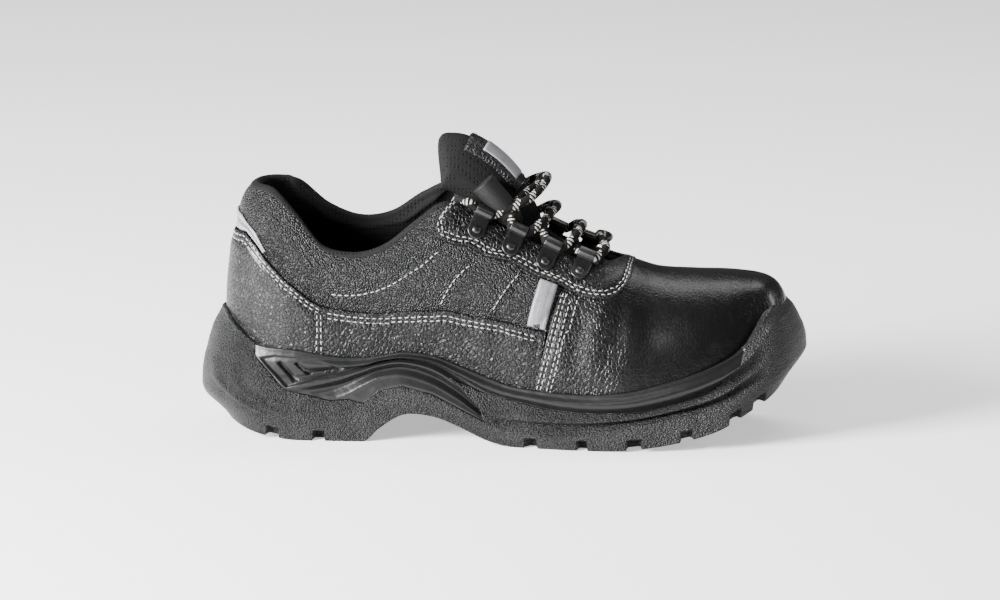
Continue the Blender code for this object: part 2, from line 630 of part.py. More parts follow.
# Lace hooks: a plate that lies on the eyestay, with a rivet and a rolled tube at the throat's edge
lateral_heads = head_x[: COLUMNS // 2 + 1]
HOOK_BELOW_HEAD = 0.0095  # rivet to the throat's edge, along the leather
HOOK_FOOT = 0.0048        # foot of the plate to the rivet
HOOK_LEAN = 0.33          # slope of the plates towards the toe


def hook_frame(station, side):
    """Rivet point, and the directions along the throat, up to its edge and out of the leather."""
    x = (station - 0.5) * SHOE_LENGTH
    column = float(np.interp(x, lateral_heads, np.arange(len(lateral_heads))))
    column = column if side < 0 else COLUMNS - column
    rises = np.linspace(0.5, 1.0, 101)
    rib = rib_points(np.full(101, column), rises)
    below = np.cumsum(np.linalg.norm(np.diff(rib, axis=0), axis=1)[::-1])[::-1]
    rise = float(np.interp(-HOOK_BELOW_HEAD, -below, rises[:-1]))
    here = rib_points(column, rise)
    forward = rib_points(column - side * 0.5, rise) - here
    up = rib_points(column, rise + 0.03) - here
    forward = Vector(forward).normalized()
    up = (Vector(up).normalized() + forward * HOOK_LEAN).normalized()
    out = forward.cross(up).normalized() * -side
    forward = up.cross(out).normalized() * -side
    seat = Vector(here) + out * (LEATHER + 3 * GAP)
    return seat, forward, up, out


def hook_mesh():
    """The plate with its rolled tube, extruded across its width, and the rivet's head on it."""
    opening = -math.acos((HOOK_PLATE - TUBE_RADIUS) / TUBE_RADIUS)
    turns = np.linspace(opening, math.pi, 9)
    middle = HOOK_FOOT + HOOK_BELOW_HEAD
    outline = [(0.0, 0.0), (HOOK_PLATE, 0.0)]
    outline += [(TUBE_RADIUS * (1 + math.cos(t)), middle + TUBE_RADIUS * math.sin(t)) for t in turns]
    circle = np.linspace(0, 2 * math.pi, 9)[:-1]
    bore = [(TUBE_RADIUS + TUBE_BORE * math.cos(t), middle + TUBE_BORE * math.sin(t)) for t in circle]
    curve = flat_curve("hook_profile", [outline, bore], HOOK_WIDTH / 2)
    return solid_from_curve("hook_pattern", curve, Matrix.Identity(4), cutter=True)


def make_rivet():
    """The rivet's head as a short cylinder that runs into the plate."""
    height = RIVET_HEIGHT + HOOK_PLATE / 2
    turn = Matrix.Rotation(math.pi / 2, 4, "Y")
    place = Matrix.Translation((HOOK_PLATE / 2 + height / 2, HOOK_FOOT, 0.0)) @ turn
    work = bmesh.new()
    bmesh.ops.create_cone(
        work, cap_ends=True, segments=8, radius1=RIVET_RADIUS, radius2=RIVET_RADIUS * 0.8, depth=height,
        matrix=place,
    )
    mesh = bpy.data.meshes.new("rivet_head")
    work.to_mesh(mesh)
    work.free()
    return new_object("rivet_head", mesh, cutter=True)


def make_hooks():
    """Four hooks a side; the tube's two mouths of each are kept for the lace."""
    pattern = hook_mesh()
    rivet = make_rivet()
    boolean(pattern, rivet, "UNION")
    bpy.context.view_layer.update()
    seen = pattern.evaluated_get(bpy.context.evaluated_depsgraph_get())
    mesh = bpy.data.meshes.new_from_object(seen)
    mouths = {}
    for side, word in ((-1, "lateral"), (1, "medial")):
        for number, station in enumerate(HOOK_STATIONS, start=1):
            seat, forward, up, out = hook_frame(station, side)
            item = new_object(f"lace_hook_{word}_{number}", mesh.copy())
            across = out.cross(up)
            turn = Matrix((out, up, across)).transposed().to_4x4()
            item.matrix_world = Matrix.Translation(seat - up * HOOK_FOOT) @ turn
            tube = seat + up * HOOK_BELOW_HEAD + out * TUBE_RADIUS
            reach = forward * (HOOK_WIDTH / 2 + LACE_START)
            mouths[side, number] = (tube + reach, tube - reach)
            finish(item, BLACK_METAL, 0.35, 0.8)
    return mouths


# Lace: bars that cross the tongue from hook to hook
LACE_START = 0.0016      # the lace's flat end to the mouth of the tube
LACE_POINTS = 8


def lace_bar(name, start, end, lift, lead):
    """One strand between two tube mouths: it leaves along the tubes and arches over the tongue."""
    a, b = Vector(start), Vector(end)
    curve = bpy.data.curves.new(name, "CURVE")
    curve.dimensions = "3D"
    curve.bevel_depth = LACE_DIAMETER / 2
    curve.bevel_resolution = 2
    curve.use_fill_caps = True
    line = curve.splines.new("POLY")
    line.points.add(LACE_POINTS - 1)
    handles = (a, a + lead[0], (a + b) / 2 + lift, b + lead[1], b)
    for point, t in zip(line.points, np.linspace(0, 1, LACE_POINTS)):
        weights = [math.comb(4, k) * t**k * (1 - t) ** (4 - k) for k in range(5)]
        place = sum((h * w for h, w in zip(handles, weights)), Vector())
        point.co = (*place, 1.0)
    return solid_from_curve(name, curve, Matrix.Identity(4))


FRONT_LIFT = Vector((0.000, 0.0, 0.0150))
# Each crossing's rise over the tongue, from the top pair of hooks down
CROSSING_LIFTS = (
    Vector((0.053, 0.0, 0.0460)),
    Vector((0.016, 0.0, 0.0280)),
    Vector((0.004, 0.0, 0.0200)),
)
LEAD = Vector((0.0080, 0.0, 0.0010))
LEAD_RISES = (Vector((-0.009, 0.0, 0.0090)), Vector((0.0, 0.0, 0.004)), Vector((0.0, 0.0, 0.004)))


def make_lace(mouths):
    """The front bar, and a crossing of two strands between each two pairs of hooks."""
    last = len(HOOK_STATIONS)
    item = lace_bar("lace_front_bar", mouths[-1, last][0], mouths[1, last][0], FRONT_LIFT, (LEAD, LEAD))
    finish(item, BLACK_LACE, 0.8)
    for number in range(1, last):
        ends = (-LEAD + LEAD_RISES[number - 1], LEAD)
        lift = CROSSING_LIFTS[number - 1]
        item = lace_bar(f"lace_crossing_{number}", mouths[-1, number + 1][1], mouths[1, number][0],
                        lift, ends)
        other = lace_bar(f"lace_strand_{number}", mouths[1, number + 1][1], mouths[-1, number][0],
                         lift, ends)
        parts = bpy.data.collections[PARTS_COLLECTION]
        parts.objects.unlink(other)
        bpy.data.collections[CUTTERS_COLLECTION].objects.link(other)
        other.hide_render = True
        other.display_type = "WIRE"
        boolean(item, other, "UNION")
        finish(item, BLACK_LACE, 0.8)


for old in list(bpy.data.objects):
    bpy.data.objects.remove(old)
for label in (PARTS_COLLECTION, CUTTERS_COLLECTION):
    bpy.context.scene.collection.children.link(bpy.data.collections.new(label))

BLACK_LEATHER = (0.018, 0.018, 0.019)
BLACK_LINING = (0.022, 0.022, 0.024)
BLACK_RUBBER = (0.025, 0.025, 0.026)
BLACK_METAL = (0.03, 0.03, 0.03)
BLACK_LACE = (0.03, 0.03, 0.03)
REFLECTIVE = (0.52, 0.51, 0.55)
FAR = BALL_WIDTH

last_form("foot_cup", GAP + LEATHER + SOLE_FIT, GAP)
grooves = make_grooves()
mid_cutter = side_cutter("midsole_outline", MIDSOLE_OUTLINE, -FAR, FAR, SEAT_HEIGHT)
mid_space = side_cutter("midsole_space", MIDSOLE_OUTLINE, -FAR, FAR, SEAT_HEIGHT, GAP)

midsole = make_sole("midsole")
boolean(midsole, mid_cutter, "INTERSECT")
outsole = make_sole("outsole")
boolean(outsole, mid_space, "DIFFERENCE")
boolean(outsole, grooves, "DIFFERENCE")
finish(midsole, BLACK_RUBBER, 0.5)
finish(outsole, BLACK_RUBBER, 0.75)
finish(make_insole(), BLACK_LINING, 0.9)
finish(make_upper(), BLACK_LINING, 0.7)
finish(make_tongue(), BLACK_LINING, 0.7)
finish(make_tongue_patch(), BLACK_LEATHER, 0.5)

LEATHER_PIECES = (
    ("heel_counter", COUNTER_OUTLINE, -FAR, FAR, BLACK_LEATHER),
    ("quarter_lateral", QUARTER_OUTLINE, -FAR, 0.0, BLACK_LEATHER),
    ("quarter_medial", QUARTER_OUTLINE, 0.0, FAR, BLACK_LEATHER),
    ("vamp", VAMP_OUTLINE, -FAR, FAR, BLACK_LEATHER),
    ("eyestay", EYESTAY_OUTLINE, -FAR, FAR, BLACK_LEATHER),
    ("side_strip_lateral", SIDE_STRIP_OUTLINE, -FAR, 0.0, REFLECTIVE),
    ("side_strip_medial", SIDE_STRIP_OUTLINE, 0.0, FAR, REFLECTIVE),
    ("heel_strip", HEEL_STRIP_OUTLINE, -FAR, FAR, REFLECTIVE),
)
for label, outline, near, far, colour in LEATHER_PIECES:
    finish(leather_piece(label, outline, near, far), colour, 0.45)

make_lace(make_hooks())
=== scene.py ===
"""Looks of the low black safety sneaker: a right shoe, seen from its lateral side with the toe to the right.

Metres, +Z up, toe along +X, lateral side towards -Y. The sections follow the shoe as it is put together:
sole, insole, lining and padding, leather pieces, thread, tongue, hooks and lace.
"""

import math

import bmesh
import bpy
import numpy as np
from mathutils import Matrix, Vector


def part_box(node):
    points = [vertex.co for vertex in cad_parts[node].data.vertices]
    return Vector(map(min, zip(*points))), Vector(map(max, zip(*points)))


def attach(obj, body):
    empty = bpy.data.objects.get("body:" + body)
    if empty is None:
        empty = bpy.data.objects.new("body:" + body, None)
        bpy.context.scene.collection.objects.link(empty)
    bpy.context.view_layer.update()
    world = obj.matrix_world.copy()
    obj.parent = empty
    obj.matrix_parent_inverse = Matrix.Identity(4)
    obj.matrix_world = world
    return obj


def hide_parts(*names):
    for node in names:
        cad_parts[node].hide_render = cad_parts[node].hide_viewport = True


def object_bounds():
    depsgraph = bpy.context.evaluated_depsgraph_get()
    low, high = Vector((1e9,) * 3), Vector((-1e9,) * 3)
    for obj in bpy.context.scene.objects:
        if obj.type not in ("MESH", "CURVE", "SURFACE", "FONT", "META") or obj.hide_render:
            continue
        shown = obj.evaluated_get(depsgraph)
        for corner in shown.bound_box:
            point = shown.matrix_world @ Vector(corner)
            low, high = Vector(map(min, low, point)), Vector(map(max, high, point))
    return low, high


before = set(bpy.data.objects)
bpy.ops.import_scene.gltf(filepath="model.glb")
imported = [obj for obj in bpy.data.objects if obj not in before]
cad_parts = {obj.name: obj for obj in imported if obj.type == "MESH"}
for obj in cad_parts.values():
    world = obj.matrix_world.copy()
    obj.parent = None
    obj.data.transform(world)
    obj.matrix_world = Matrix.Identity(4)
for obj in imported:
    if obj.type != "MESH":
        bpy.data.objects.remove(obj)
cad_box = [[float(v) for v in corner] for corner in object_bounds()]

# Studio: a pale floor and soft boxes, and a long lens a little above the shoe and just towards its toe,
# as in the photograph.
MM = 0.001
SHOE_LENGTH = cad_box[1][0] - cad_box[0][0]
VIEW_AZIMUTH = math.radians(4.0)
VIEW_ELEVATION = math.radians(12.0)
VIEW_DISTANCE = 3.2
VIEW_WIDTH = SHOE_LENGTH * 1000 / 607      # the shoe is 607 of the picture's 1000 pixels long
VIEW_AIM = Vector((-1.7, 0.0, 64.9)) * MM


def add_object(name, data):
    """A new object in the scene, at the origin."""
    item = bpy.data.objects.new(name, data)
    bpy.context.scene.collection.objects.link(item)
    return item


def studio_camera():
    """The photograph's camera: far off, narrow, aimed at the middle of the shoe."""
    data = bpy.data.cameras.new("studio_camera")
    data.sensor_width = 36.0
    data.lens = data.sensor_width * VIEW_DISTANCE / VIEW_WIDTH
    data.clip_end = 50.0
    item = add_object("studio_camera", data)
    back = Vector((
        math.sin(VIEW_AZIMUTH) * math.cos(VIEW_ELEVATION),
        -math.cos(VIEW_AZIMUTH) * math.cos(VIEW_ELEVATION),
        math.sin(VIEW_ELEVATION),
    ))
    item.location = VIEW_AIM + back * VIEW_DISTANCE
    item.rotation_euler = back.to_track_quat("Z", "Y").to_euler()
    bpy.context.scene.camera = item


def soft_box(name, place, aim, width, height, power):
    """A rectangular area light aimed at a point."""
    data = bpy.data.lights.new(name, "AREA")
    data.shape = "RECTANGLE"
    data.size = width
    data.size_y = height
    data.energy = power
    item = add_object(name, data)
    item.location = place
    item.rotation_euler = (Vector(place) - Vector(aim)).to_track_quat("Z", "Y").to_euler()


studio_camera()
SHOE_MIDDLE = (0.0, 0.0, 0.07)
soft_box("overhead_box", (0.10, 0.55, 1.35), SHOE_MIDDLE, 1.4, 0.5, 14.0)
soft_box("heel_key", (-1.35, -0.95, 0.62), SHOE_MIDDLE, 0.75, 0.7, 230.0)
soft_box("toe_rim", (1.25, 0.30, 0.62), SHOE_MIDDLE, 0.25, 0.6, 5.0)
soft_box("front_fill", (-0.25, -1.7, 1.45), SHOE_MIDDLE, 0.8, 0.35, 6.0)

world = bpy.data.worlds.new("studio_white")
world.use_nodes = True
world.node_tree.nodes["Background"].inputs["Color"].default_value = (1.0, 1.0, 1.0, 1.0)
world.node_tree.nodes["Background"].inputs["Strength"].default_value = 0.12
bpy.context.scene.world = world

floor_mesh = bpy.data.meshes.new("studio_floor")
FLOOR = 8.0
floor_mesh.from_pydata(
    [(x * FLOOR, y * FLOOR, 0) for x, y in ((-1, -1), (1, -1), (1, 1), (-1, 1))], [], [(0, 1, 2, 3)],
)
floor = add_object("studio_floor", floor_mesh)
paper = bpy.data.materials.new("pale_paper")
paper.use_nodes = True
for label, value in (
    ("Base Color", (0.86, 0.86, 0.86, 1.0)), ("Roughness", 0.85),
    ("Emission Color", (1.0, 1.0, 1.0, 1.0)), ("Emission Strength", 0.62),
):
    paper.node_tree.nodes["Principled BSDF"].inputs[label].default_value = value
floor_mesh.materials.append(paper)

# Sole: one moulded unit. Its rough part is the outsole with heel cup, lugs and toe bumper, and its smooth
# part the midsole with heel panel, waist ribs and forefoot band. Injected black polyurethane.
BALL_WIDTH = 0.106
SEAT_HEIGHT = 0.035
COLLAR_HEIGHT = 0.122
TONGUE_HEIGHT = float(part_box("tongue")[1][2])
AXIS_Y = 0.0012


def table(names, rows):
    """Named columns of a table of rows."""
    return dict(zip(names.split(), np.array(rows, float).T))


SOLE = table(
    "along lateral medial tread lug step groove rib fold band lip kick lean",
    [
        (0.000, 0.000, 0.000, 0.286, 0.486, 0.686, 0.829, 0.971, 1.171, 1.429, 1.714, 6.0, 8.0),
        (0.017, 0.160, 0.160, 0.271, 0.486, 0.686, 0.829, 0.971, 1.171, 1.400, 1.686, 5.5, 7.0),
        (0.050, 0.264, 0.264, 0.186, 0.471, 0.657, 0.800, 0.943, 1.114, 1.314, 1.543, 3.0, 4.0),
        (0.099, 0.330, 0.325, 0.071, 0.400, 0.571, 0.729, 0.829, 0.971, 1.114, 1.314, 1.0, 1.5),
        (0.166, 0.358, 0.349, 0.000, 0.343, 0.514, 0.686, 0.800, 0.943, 1.100, 1.271, 0.0, 0.0),
        (0.232, 0.363, 0.352, 0.000, 0.329, 0.586, 0.771, 0.900, 1.000, 1.086, 1.186, 0.0, 0.0),
        (0.278, 0.363, 0.347, 0.000, 0.543, 0.800, 0.929, 1.029, 1.077, 1.114, 1.180, 0.0, 0.0),
        (0.305, 0.363, 0.340, 0.200, 0.743, 0.914, 1.014, 1.109, 1.151, 1.180, 1.214, 0.0, 0.0),
        (0.344, 0.366, 0.335, 0.400, 0.814, 0.957, 1.057, 1.157, 1.200, 1.229, 1.271, 0.0, 0.0),
        (0.391, 0.373, 0.330, 0.386, 0.714, 0.843, 0.943, 1.071, 1.143, 1.186, 1.229, 0.0, 0.0),
        (0.434, 0.387, 0.330, 0.257, 0.529, 0.643, 0.729, 0.857, 0.957, 1.029, 1.100, 0.0, 0.0),
        (0.483, 0.408, 0.346, 0.071, 0.329, 0.371, 0.414, 0.486, 0.743, 0.843, 0.943, 0.0, 0.0),
        (0.530, 0.434, 0.368, 0.000, 0.214, 0.271, 0.329, 0.429, 0.643, 0.743, 0.829, 0.0, 0.0),
        (0.623, 0.479, 0.430, 0.000, 0.200, 0.271, 0.343, 0.414, 0.514, 0.657, 0.771, 0.0, 0.0),
        (0.712, 0.500, 0.472, 0.023, 0.357, 0.391, 0.429, 0.471, 0.537, 0.686, 0.823, 0.0, 0.0),
        (0.795, 0.476, 0.476, 0.123, 0.486, 0.529, 0.571, 0.614, 0.680, 0.843, 0.994, 0.0, 0.0),
        (0.861, 0.425, 0.453, 0.271, 0.614, 0.657, 0.714, 0.786, 0.886, 1.029, 1.180, 0.0, 0.5),
        (0.911, 0.358, 0.410, 0.486, 0.800, 0.857, 0.929, 1.029, 1.143, 1.271, 1.400, 0.5, 2.0),
        (0.954, 0.255, 0.330, 0.671, 0.943, 1.029, 1.143, 1.286, 1.457, 1.614, 1.786, 1.5, 5.0),
        (0.983, 0.123, 0.226, 0.857, 1.086, 1.200, 1.314, 1.429, 1.600, 1.743, 1.900, 2.5, 7.5),
        (1.000, -0.057, 0.057, 1.000, 1.171, 1.286, 1.400, 1.514, 1.657, 1.800, 1.943, 3.0, 8.5),
    ],
)
# Each step of the side: how far it lies in, in millimetres, at the waist and at the heel and toe
SIDE_STEPS = (
    ("tread", 1.4, 1.4), ("lug", 0.0, 0.0), ("step", 1.0, 0.2), ("groove", 3.9, 0.1), ("rib", 0.3, 0.3),
    ("fold", 3.3, 0.9), ("band", 0.4, 1.2), ("lip", 2.4, 2.6),
)
# Smooth part, side view: share of the length, share of the seat height
MIDSOLE_OUTLINE = [
    (0.089, 1.715), (0.096, 1.200), (0.149, 0.715), (0.222, 0.585), (0.252, 0.613), (0.278, 0.558),
    (0.305, 0.750), (0.341, 0.816), (0.391, 0.715), (0.434, 0.530), (0.480, 0.338), (0.461, 0.600),
    (0.420, 0.960), (0.470, 0.760), (0.530, 0.638), (0.576, 0.561), (0.629, 0.520), (0.738, 0.551),
    (0.798, 0.690), (0.844, 0.802), (0.868, 0.941), (0.898, 1.200), (0.924, 1.640), (0.930, 2.440),
    (0.089, 2.440),
]
PANEL_OUTLINE = [
    (0.104, 1.165), (0.152, 0.760), (0.190, 0.850), (0.226, 0.965), (0.250, 1.050), (0.221, 1.110),
    (0.189, 1.190), (0.130, 1.205),
]
SLOT_OUTLINES = (
    [(0.1345, 1.105), (0.1415, 1.125), (0.1700, 0.850), (0.1630, 0.830)],
    [(0.1635, 1.105), (0.1705, 1.125), (0.1925, 0.950), (0.1855, 0.930)],
)
GROOVES = (
    (0.127, 0.015), (0.205, 0.014), (0.553, 0.013), (0.639, 0.012), (0.725, 0.018), (0.811, 0.014),
    (0.889, 0.013), (0.932, 0.013),
)
GROOVE_DEPTH = 4.6 * MM
GROOVE_WIDEN = 1.25        # the mouths are flared a little
GROOVE_BACK = 4.5 * MM     # how far a groove's mouth runs in from the sole's side
GROOVE_SLOPE = 0.45 * MM
SEAM_DEPTH, SEAM_WIDTH = 0.45 * MM, 0.7 * MM      # the fine valley round the smooth part
ROUGH_PROUD = 0.35 * MM    # the rough part stands this much over the smooth one
PANEL_DEPTH = 1.5 * MM
SLOT_DEPTH = 2.2 * MM
CUP_RIDGES = (0.030, 0.062, 0.094)
CUP_RIDGE_HEIGHT = 0.8 * MM
CHANNEL_DEPTH = 3.0 * MM
LIP_ROLL = 0.9 * MM
LEAST_COLUMN_STEP = 0.012


def along_at(share):
    """Place along the shoe from a share of its length."""
    return share * SHOE_LENGTH - SHOE_LENGTH / 2


def catmull(before, here, after, later, f):
    """A Catmull-Rom curve between its two middle knots."""
    square = 2 * before - 5 * here + 4 * after - later
    return (2 * here + (after - before) * f + square * f**2 + (3 * here - 3 * after + later - before) * f**3) / 2


def around(lateral, medial, at):
    """A column carried round the shoe, lateral side then medial, read anywhere on a Catmull-Rom curve."""
    knots = np.concatenate([lateral, medial[-2:0:-1]])
    at = np.mod(at, len(knots))
    i = np.floor(at).astype(int)
    return catmull(*(knots[(i + step) % len(knots)] for step in (-1, 0, 1, 2)), at - i)


def smooth_step(value, low, high):
    """0 below low, 1 above high, and an S-curve between."""
    t = np.clip((value - low) / (high - low), 0, 1)
    return t * t * (3 - 2 * t)


def bump(value, low, high):
    """A smooth rise and fall between two limits."""
    return np.sin(np.pi * np.clip((value - low) / (high - low), 0, 1)) ** 2


def read_along(at, length, values):
    """Each column of a list of points, read at places along it."""
    return np.stack([np.interp(at, length, column) for column in values.T], axis=-1)


def outline_distance(outline, x, z):
    """Signed distance in the side view to a closed outline of shares: negative inside."""
    shape = np.array([(along_at(a), b * SEAT_HEIGHT) for a, b in outline])
    ends = np.roll(shape, -1, axis=0)
    best = np.full(x.shape, 1.0)
    inside = np.zeros(x.shape, bool)
    for (ax, az), (bx, bz) in zip(shape, ends):
        dx, dz = bx - ax, bz - az
        t = np.clip(((x - ax) * dx + (z - az) * dz) / (dx * dx + dz * dz), 0, 1)
        best = np.minimum(best, np.hypot(x - ax - t * dx, z - az - t * dz))
        crosses = (az > z) != (bz > z)
        at = ax + (z - az) * dx / np.where(dz == 0, 1e-12, dz)
        inside ^= crosses & (x < at)
    return np.where(inside, -best, best)


def grid_piece(name, points, wrap_across=False, weld=0.0, fields=None, skip=None):
    """A smooth-shaded mesh on a grid of points, with values per point as attributes; skip leaves quads out."""
    n, m = points.shape[:2]
    ids = np.arange(n * m).reshape(n, m)
    if wrap_across:
        ids = np.concatenate([ids, ids[:1]])
    quads = np.stack([ids[:-1, :-1], ids[1:, :-1], ids[1:, 1:], ids[:-1, 1:]], axis=-1)
    quads = quads.reshape(-1, 4) if skip is None else quads[~skip]
    mesh = bpy.data.meshes.new(name)
    mesh.from_pydata(points.reshape(-1, 3).tolist(), [], quads.tolist())
    for label, values in (fields or {}).items():
        layer = mesh.attributes.new(label, "FLOAT", "POINT")
        layer.data.foreach_set("value", np.asarray(values, np.float32).ravel())
    mesh.polygons.foreach_set("use_smooth", np.ones(len(mesh.polygons), bool))
    item = add_object(name, mesh)
    if weld:
        work = bmesh.new()
        work.from_mesh(mesh)
        bmesh.ops.remove_doubles(work, verts=work.verts, dist=weld)
        bmesh.ops.dissolve_degenerate(work, edges=work.edges, dist=weld)
        work.to_mesh(mesh)
        work.free()
    return item


class Signal:
    """A value that changes over a surface; sums and products with it add Math nodes."""

    def __init__(self, finish, socket):
        self.finish = finish
        self.socket = socket

    def math(self, operation, *values):
        """One Math node on these values."""
        return self.finish.node("ShaderNodeMath", {"operation": operation}, dict(enumerate(values)))

    def __add__(self, other):
        return self.math("ADD", self, other)

    __radd__ = __add__

    def __mul__(self, other):
        return self.math("MULTIPLY", self, other)

    __rmul__ = __mul__

    def __sub__(self, other):
        return self.math("SUBTRACT", self, other)

    def __rsub__(self, other):
        return self.math("SUBTRACT", other, self)

    def wave(self, operation="SINE"):
        """Sine or cosine of the value."""
        return self.finish.node("ShaderNodeMath", {"operation": operation}, {0: self})

    def above(self, low, high):
        """0 at low, 1 at high, with an S-curve between; high may be the lower number."""
        settings = {"interpolation_type": "SMOOTHSTEP"}
        if low < high:
            return self.finish.node("ShaderNodeMapRange", settings, {0: self, 1: low, 2: high})
        return 1 - self.finish.node("ShaderNodeMapRange", settings, {0: self, 1: high, 2: low})


class Finish:
    """A procedural material on a Principled shader."""

    def __init__(self, name, **constants):
        self.material = bpy.data.materials.new(name)
        self.material.use_nodes = True
        self.tree = self.material.node_tree
        self.shader = self.tree.nodes["Principled BSDF"]
        for label, value in constants.items():
            self.shader.inputs[label.replace("_", " ").title().replace("Ior", "IOR")].default_value = value

    def node(self, kind, settings=None, values=None, out=0):
        """A node of any type: its settings first, then the values or links of its sockets."""
        item = self.tree.nodes.new(kind)
        for label, value in (settings or {}).items():
            setattr(item, label, value)
        for label, value in (values or {}).items():
            if isinstance(value, Signal):
                self.tree.links.new(value.socket, item.inputs[label])
            else:
                item.inputs[label].default_value = value
        return Signal(self, item.outputs[out])

    def place(self, stretch=(1.0, 1.0, 1.0)):
        """Object coordinates, stretched."""
        at = self.node("ShaderNodeTexCoord", out="Object")
        return self.node("ShaderNodeMapping", None, {"Vector": at, "Scale": stretch})

    def noise(self, where, size, detail=2.0, roughness=0.5):
        """Noise whose features are about this long, in metres."""
        values = {"Vector": where, "Scale": 1.0 / size, "Detail": detail, "Roughness": roughness}
        return self.node("ShaderNodeTexNoise", None, values, out=0)

    def cells(self, where, size, feature="F1", smooth=None, randomness=1.0):
        """Distance in a pattern of cells about this wide, in metres."""
        values = {"Vector": where, "Scale": 1.0 / size, "Randomness": randomness}
        if smooth is not None:
            values["Smoothness"] = smooth
        return self.node("ShaderNodeTexVoronoi", {"feature": feature}, values, out=0)

    def warp(self, where, size, reach):
        """Coordinates pushed about by noise."""
        push = self.node("ShaderNodeTexNoise", None, {"Vector": where, "Scale": 1.0 / size}, out=1)
        push = self.node("ShaderNodeVectorMath", {"operation": "SUBTRACT"}, {0: push, 1: (0.5, 0.5, 0.5)})
        push = self.node("ShaderNodeVectorMath", {"operation": "SCALE"}, {0: push, 3: 2 * reach})
        return self.node("ShaderNodeVectorMath", {"operation": "ADD"}, {0: where, 1: push})

    def split(self, where, axis):
        """One coordinate of a vector."""
        return self.node("ShaderNodeSeparateXYZ", None, {0: where}, out=axis)

    def field(self, label):
        """A value carried by the mesh's points."""
        return self.node("ShaderNodeAttribute", {"attribute_name": label}, None, out="Fac")

    def blend(self, share, first, second):
        """One colour into another by a share."""
        first, second = (c if isinstance(c, Signal) else (*c, 1.0) for c in (first, second))
        return self.node("ShaderNodeMix", {"data_type": "RGBA"}, {0: share, 6: first, 7: second}, out=2)

    def drive(self, **signals):
        """Links to the shader's own sockets."""
        for label, value in signals.items():
            self.tree.links.new(value.socket, self.shader.inputs[label.replace("_", " ").title()])
        return self

    def relief(self, *layers):
        """Bump layers one on another: pairs of a height signal and its depth in metres."""
        below = None
        for height, depth in layers:
            values = {"Height": height, "Distance": depth, "Strength": 1.0}
            if below is not None:
                values["Normal"] = below
            below = self.node("ShaderNodeBump", None, values)
        return self.drive(Normal=below)


def dress(item, finish, slot, *nodes):
    """Give a piece its material and the CAD nodes that it stands for, and ride it; the slot is not used."""
    item.data.materials.clear()
    item.data.materials.append(finish.material)
    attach(item, "root")
    if nodes:
        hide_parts(*nodes)
    return item


SOLE_TURNS = 2 * (len(SOLE["along"]) - 1)


def sole_columns():
    """Places round the sole: even steps, with more beside each groove wall."""
    half = SOLE_TURNS // 2
    x = SOLE["along"]
    rows = np.arange(half + 1)
    walls = []
    panel = np.linspace(*np.interp((0.100, 0.245), x, rows), 76)
    for middle, width in GROOVES:
        for wall in (middle - width * GROOVE_WIDEN / 2, middle + width * GROOVE_WIDEN / 2):
            at = np.interp(wall, x, rows)
            rate = np.interp(wall, (x[1:] + x[:-1]) / 2, 1 / np.diff(x)) / SHOE_LENGTH
            walls += [at - GROOVE_SLOPE * rate, at, at + GROOVE_SLOPE * rate]
    side = np.unique(np.round(np.concatenate([np.linspace(0, half, 236), panel, walls]), 4))
    side = side[np.append(np.diff(side) > LEAST_COLUMN_STEP, True)]
    return np.concatenate([side, (SOLE_TURNS - side[1:-1])[::-1]])


def groove_share(x):
    """1 inside a cross groove and 0 on the lugs, at places along the shoe."""
    share = np.zeros_like(x)
    for middle, width in GROOVES:
        off = np.abs(x - (middle - 0.5) * SHOE_LENGTH)
        half = width * GROOVE_WIDEN * SHOE_LENGTH / 2
        share = np.maximum(share, 1 - smooth_step(off, half - GROOVE_SLOPE, half + GROOVE_SLOPE))
    return share


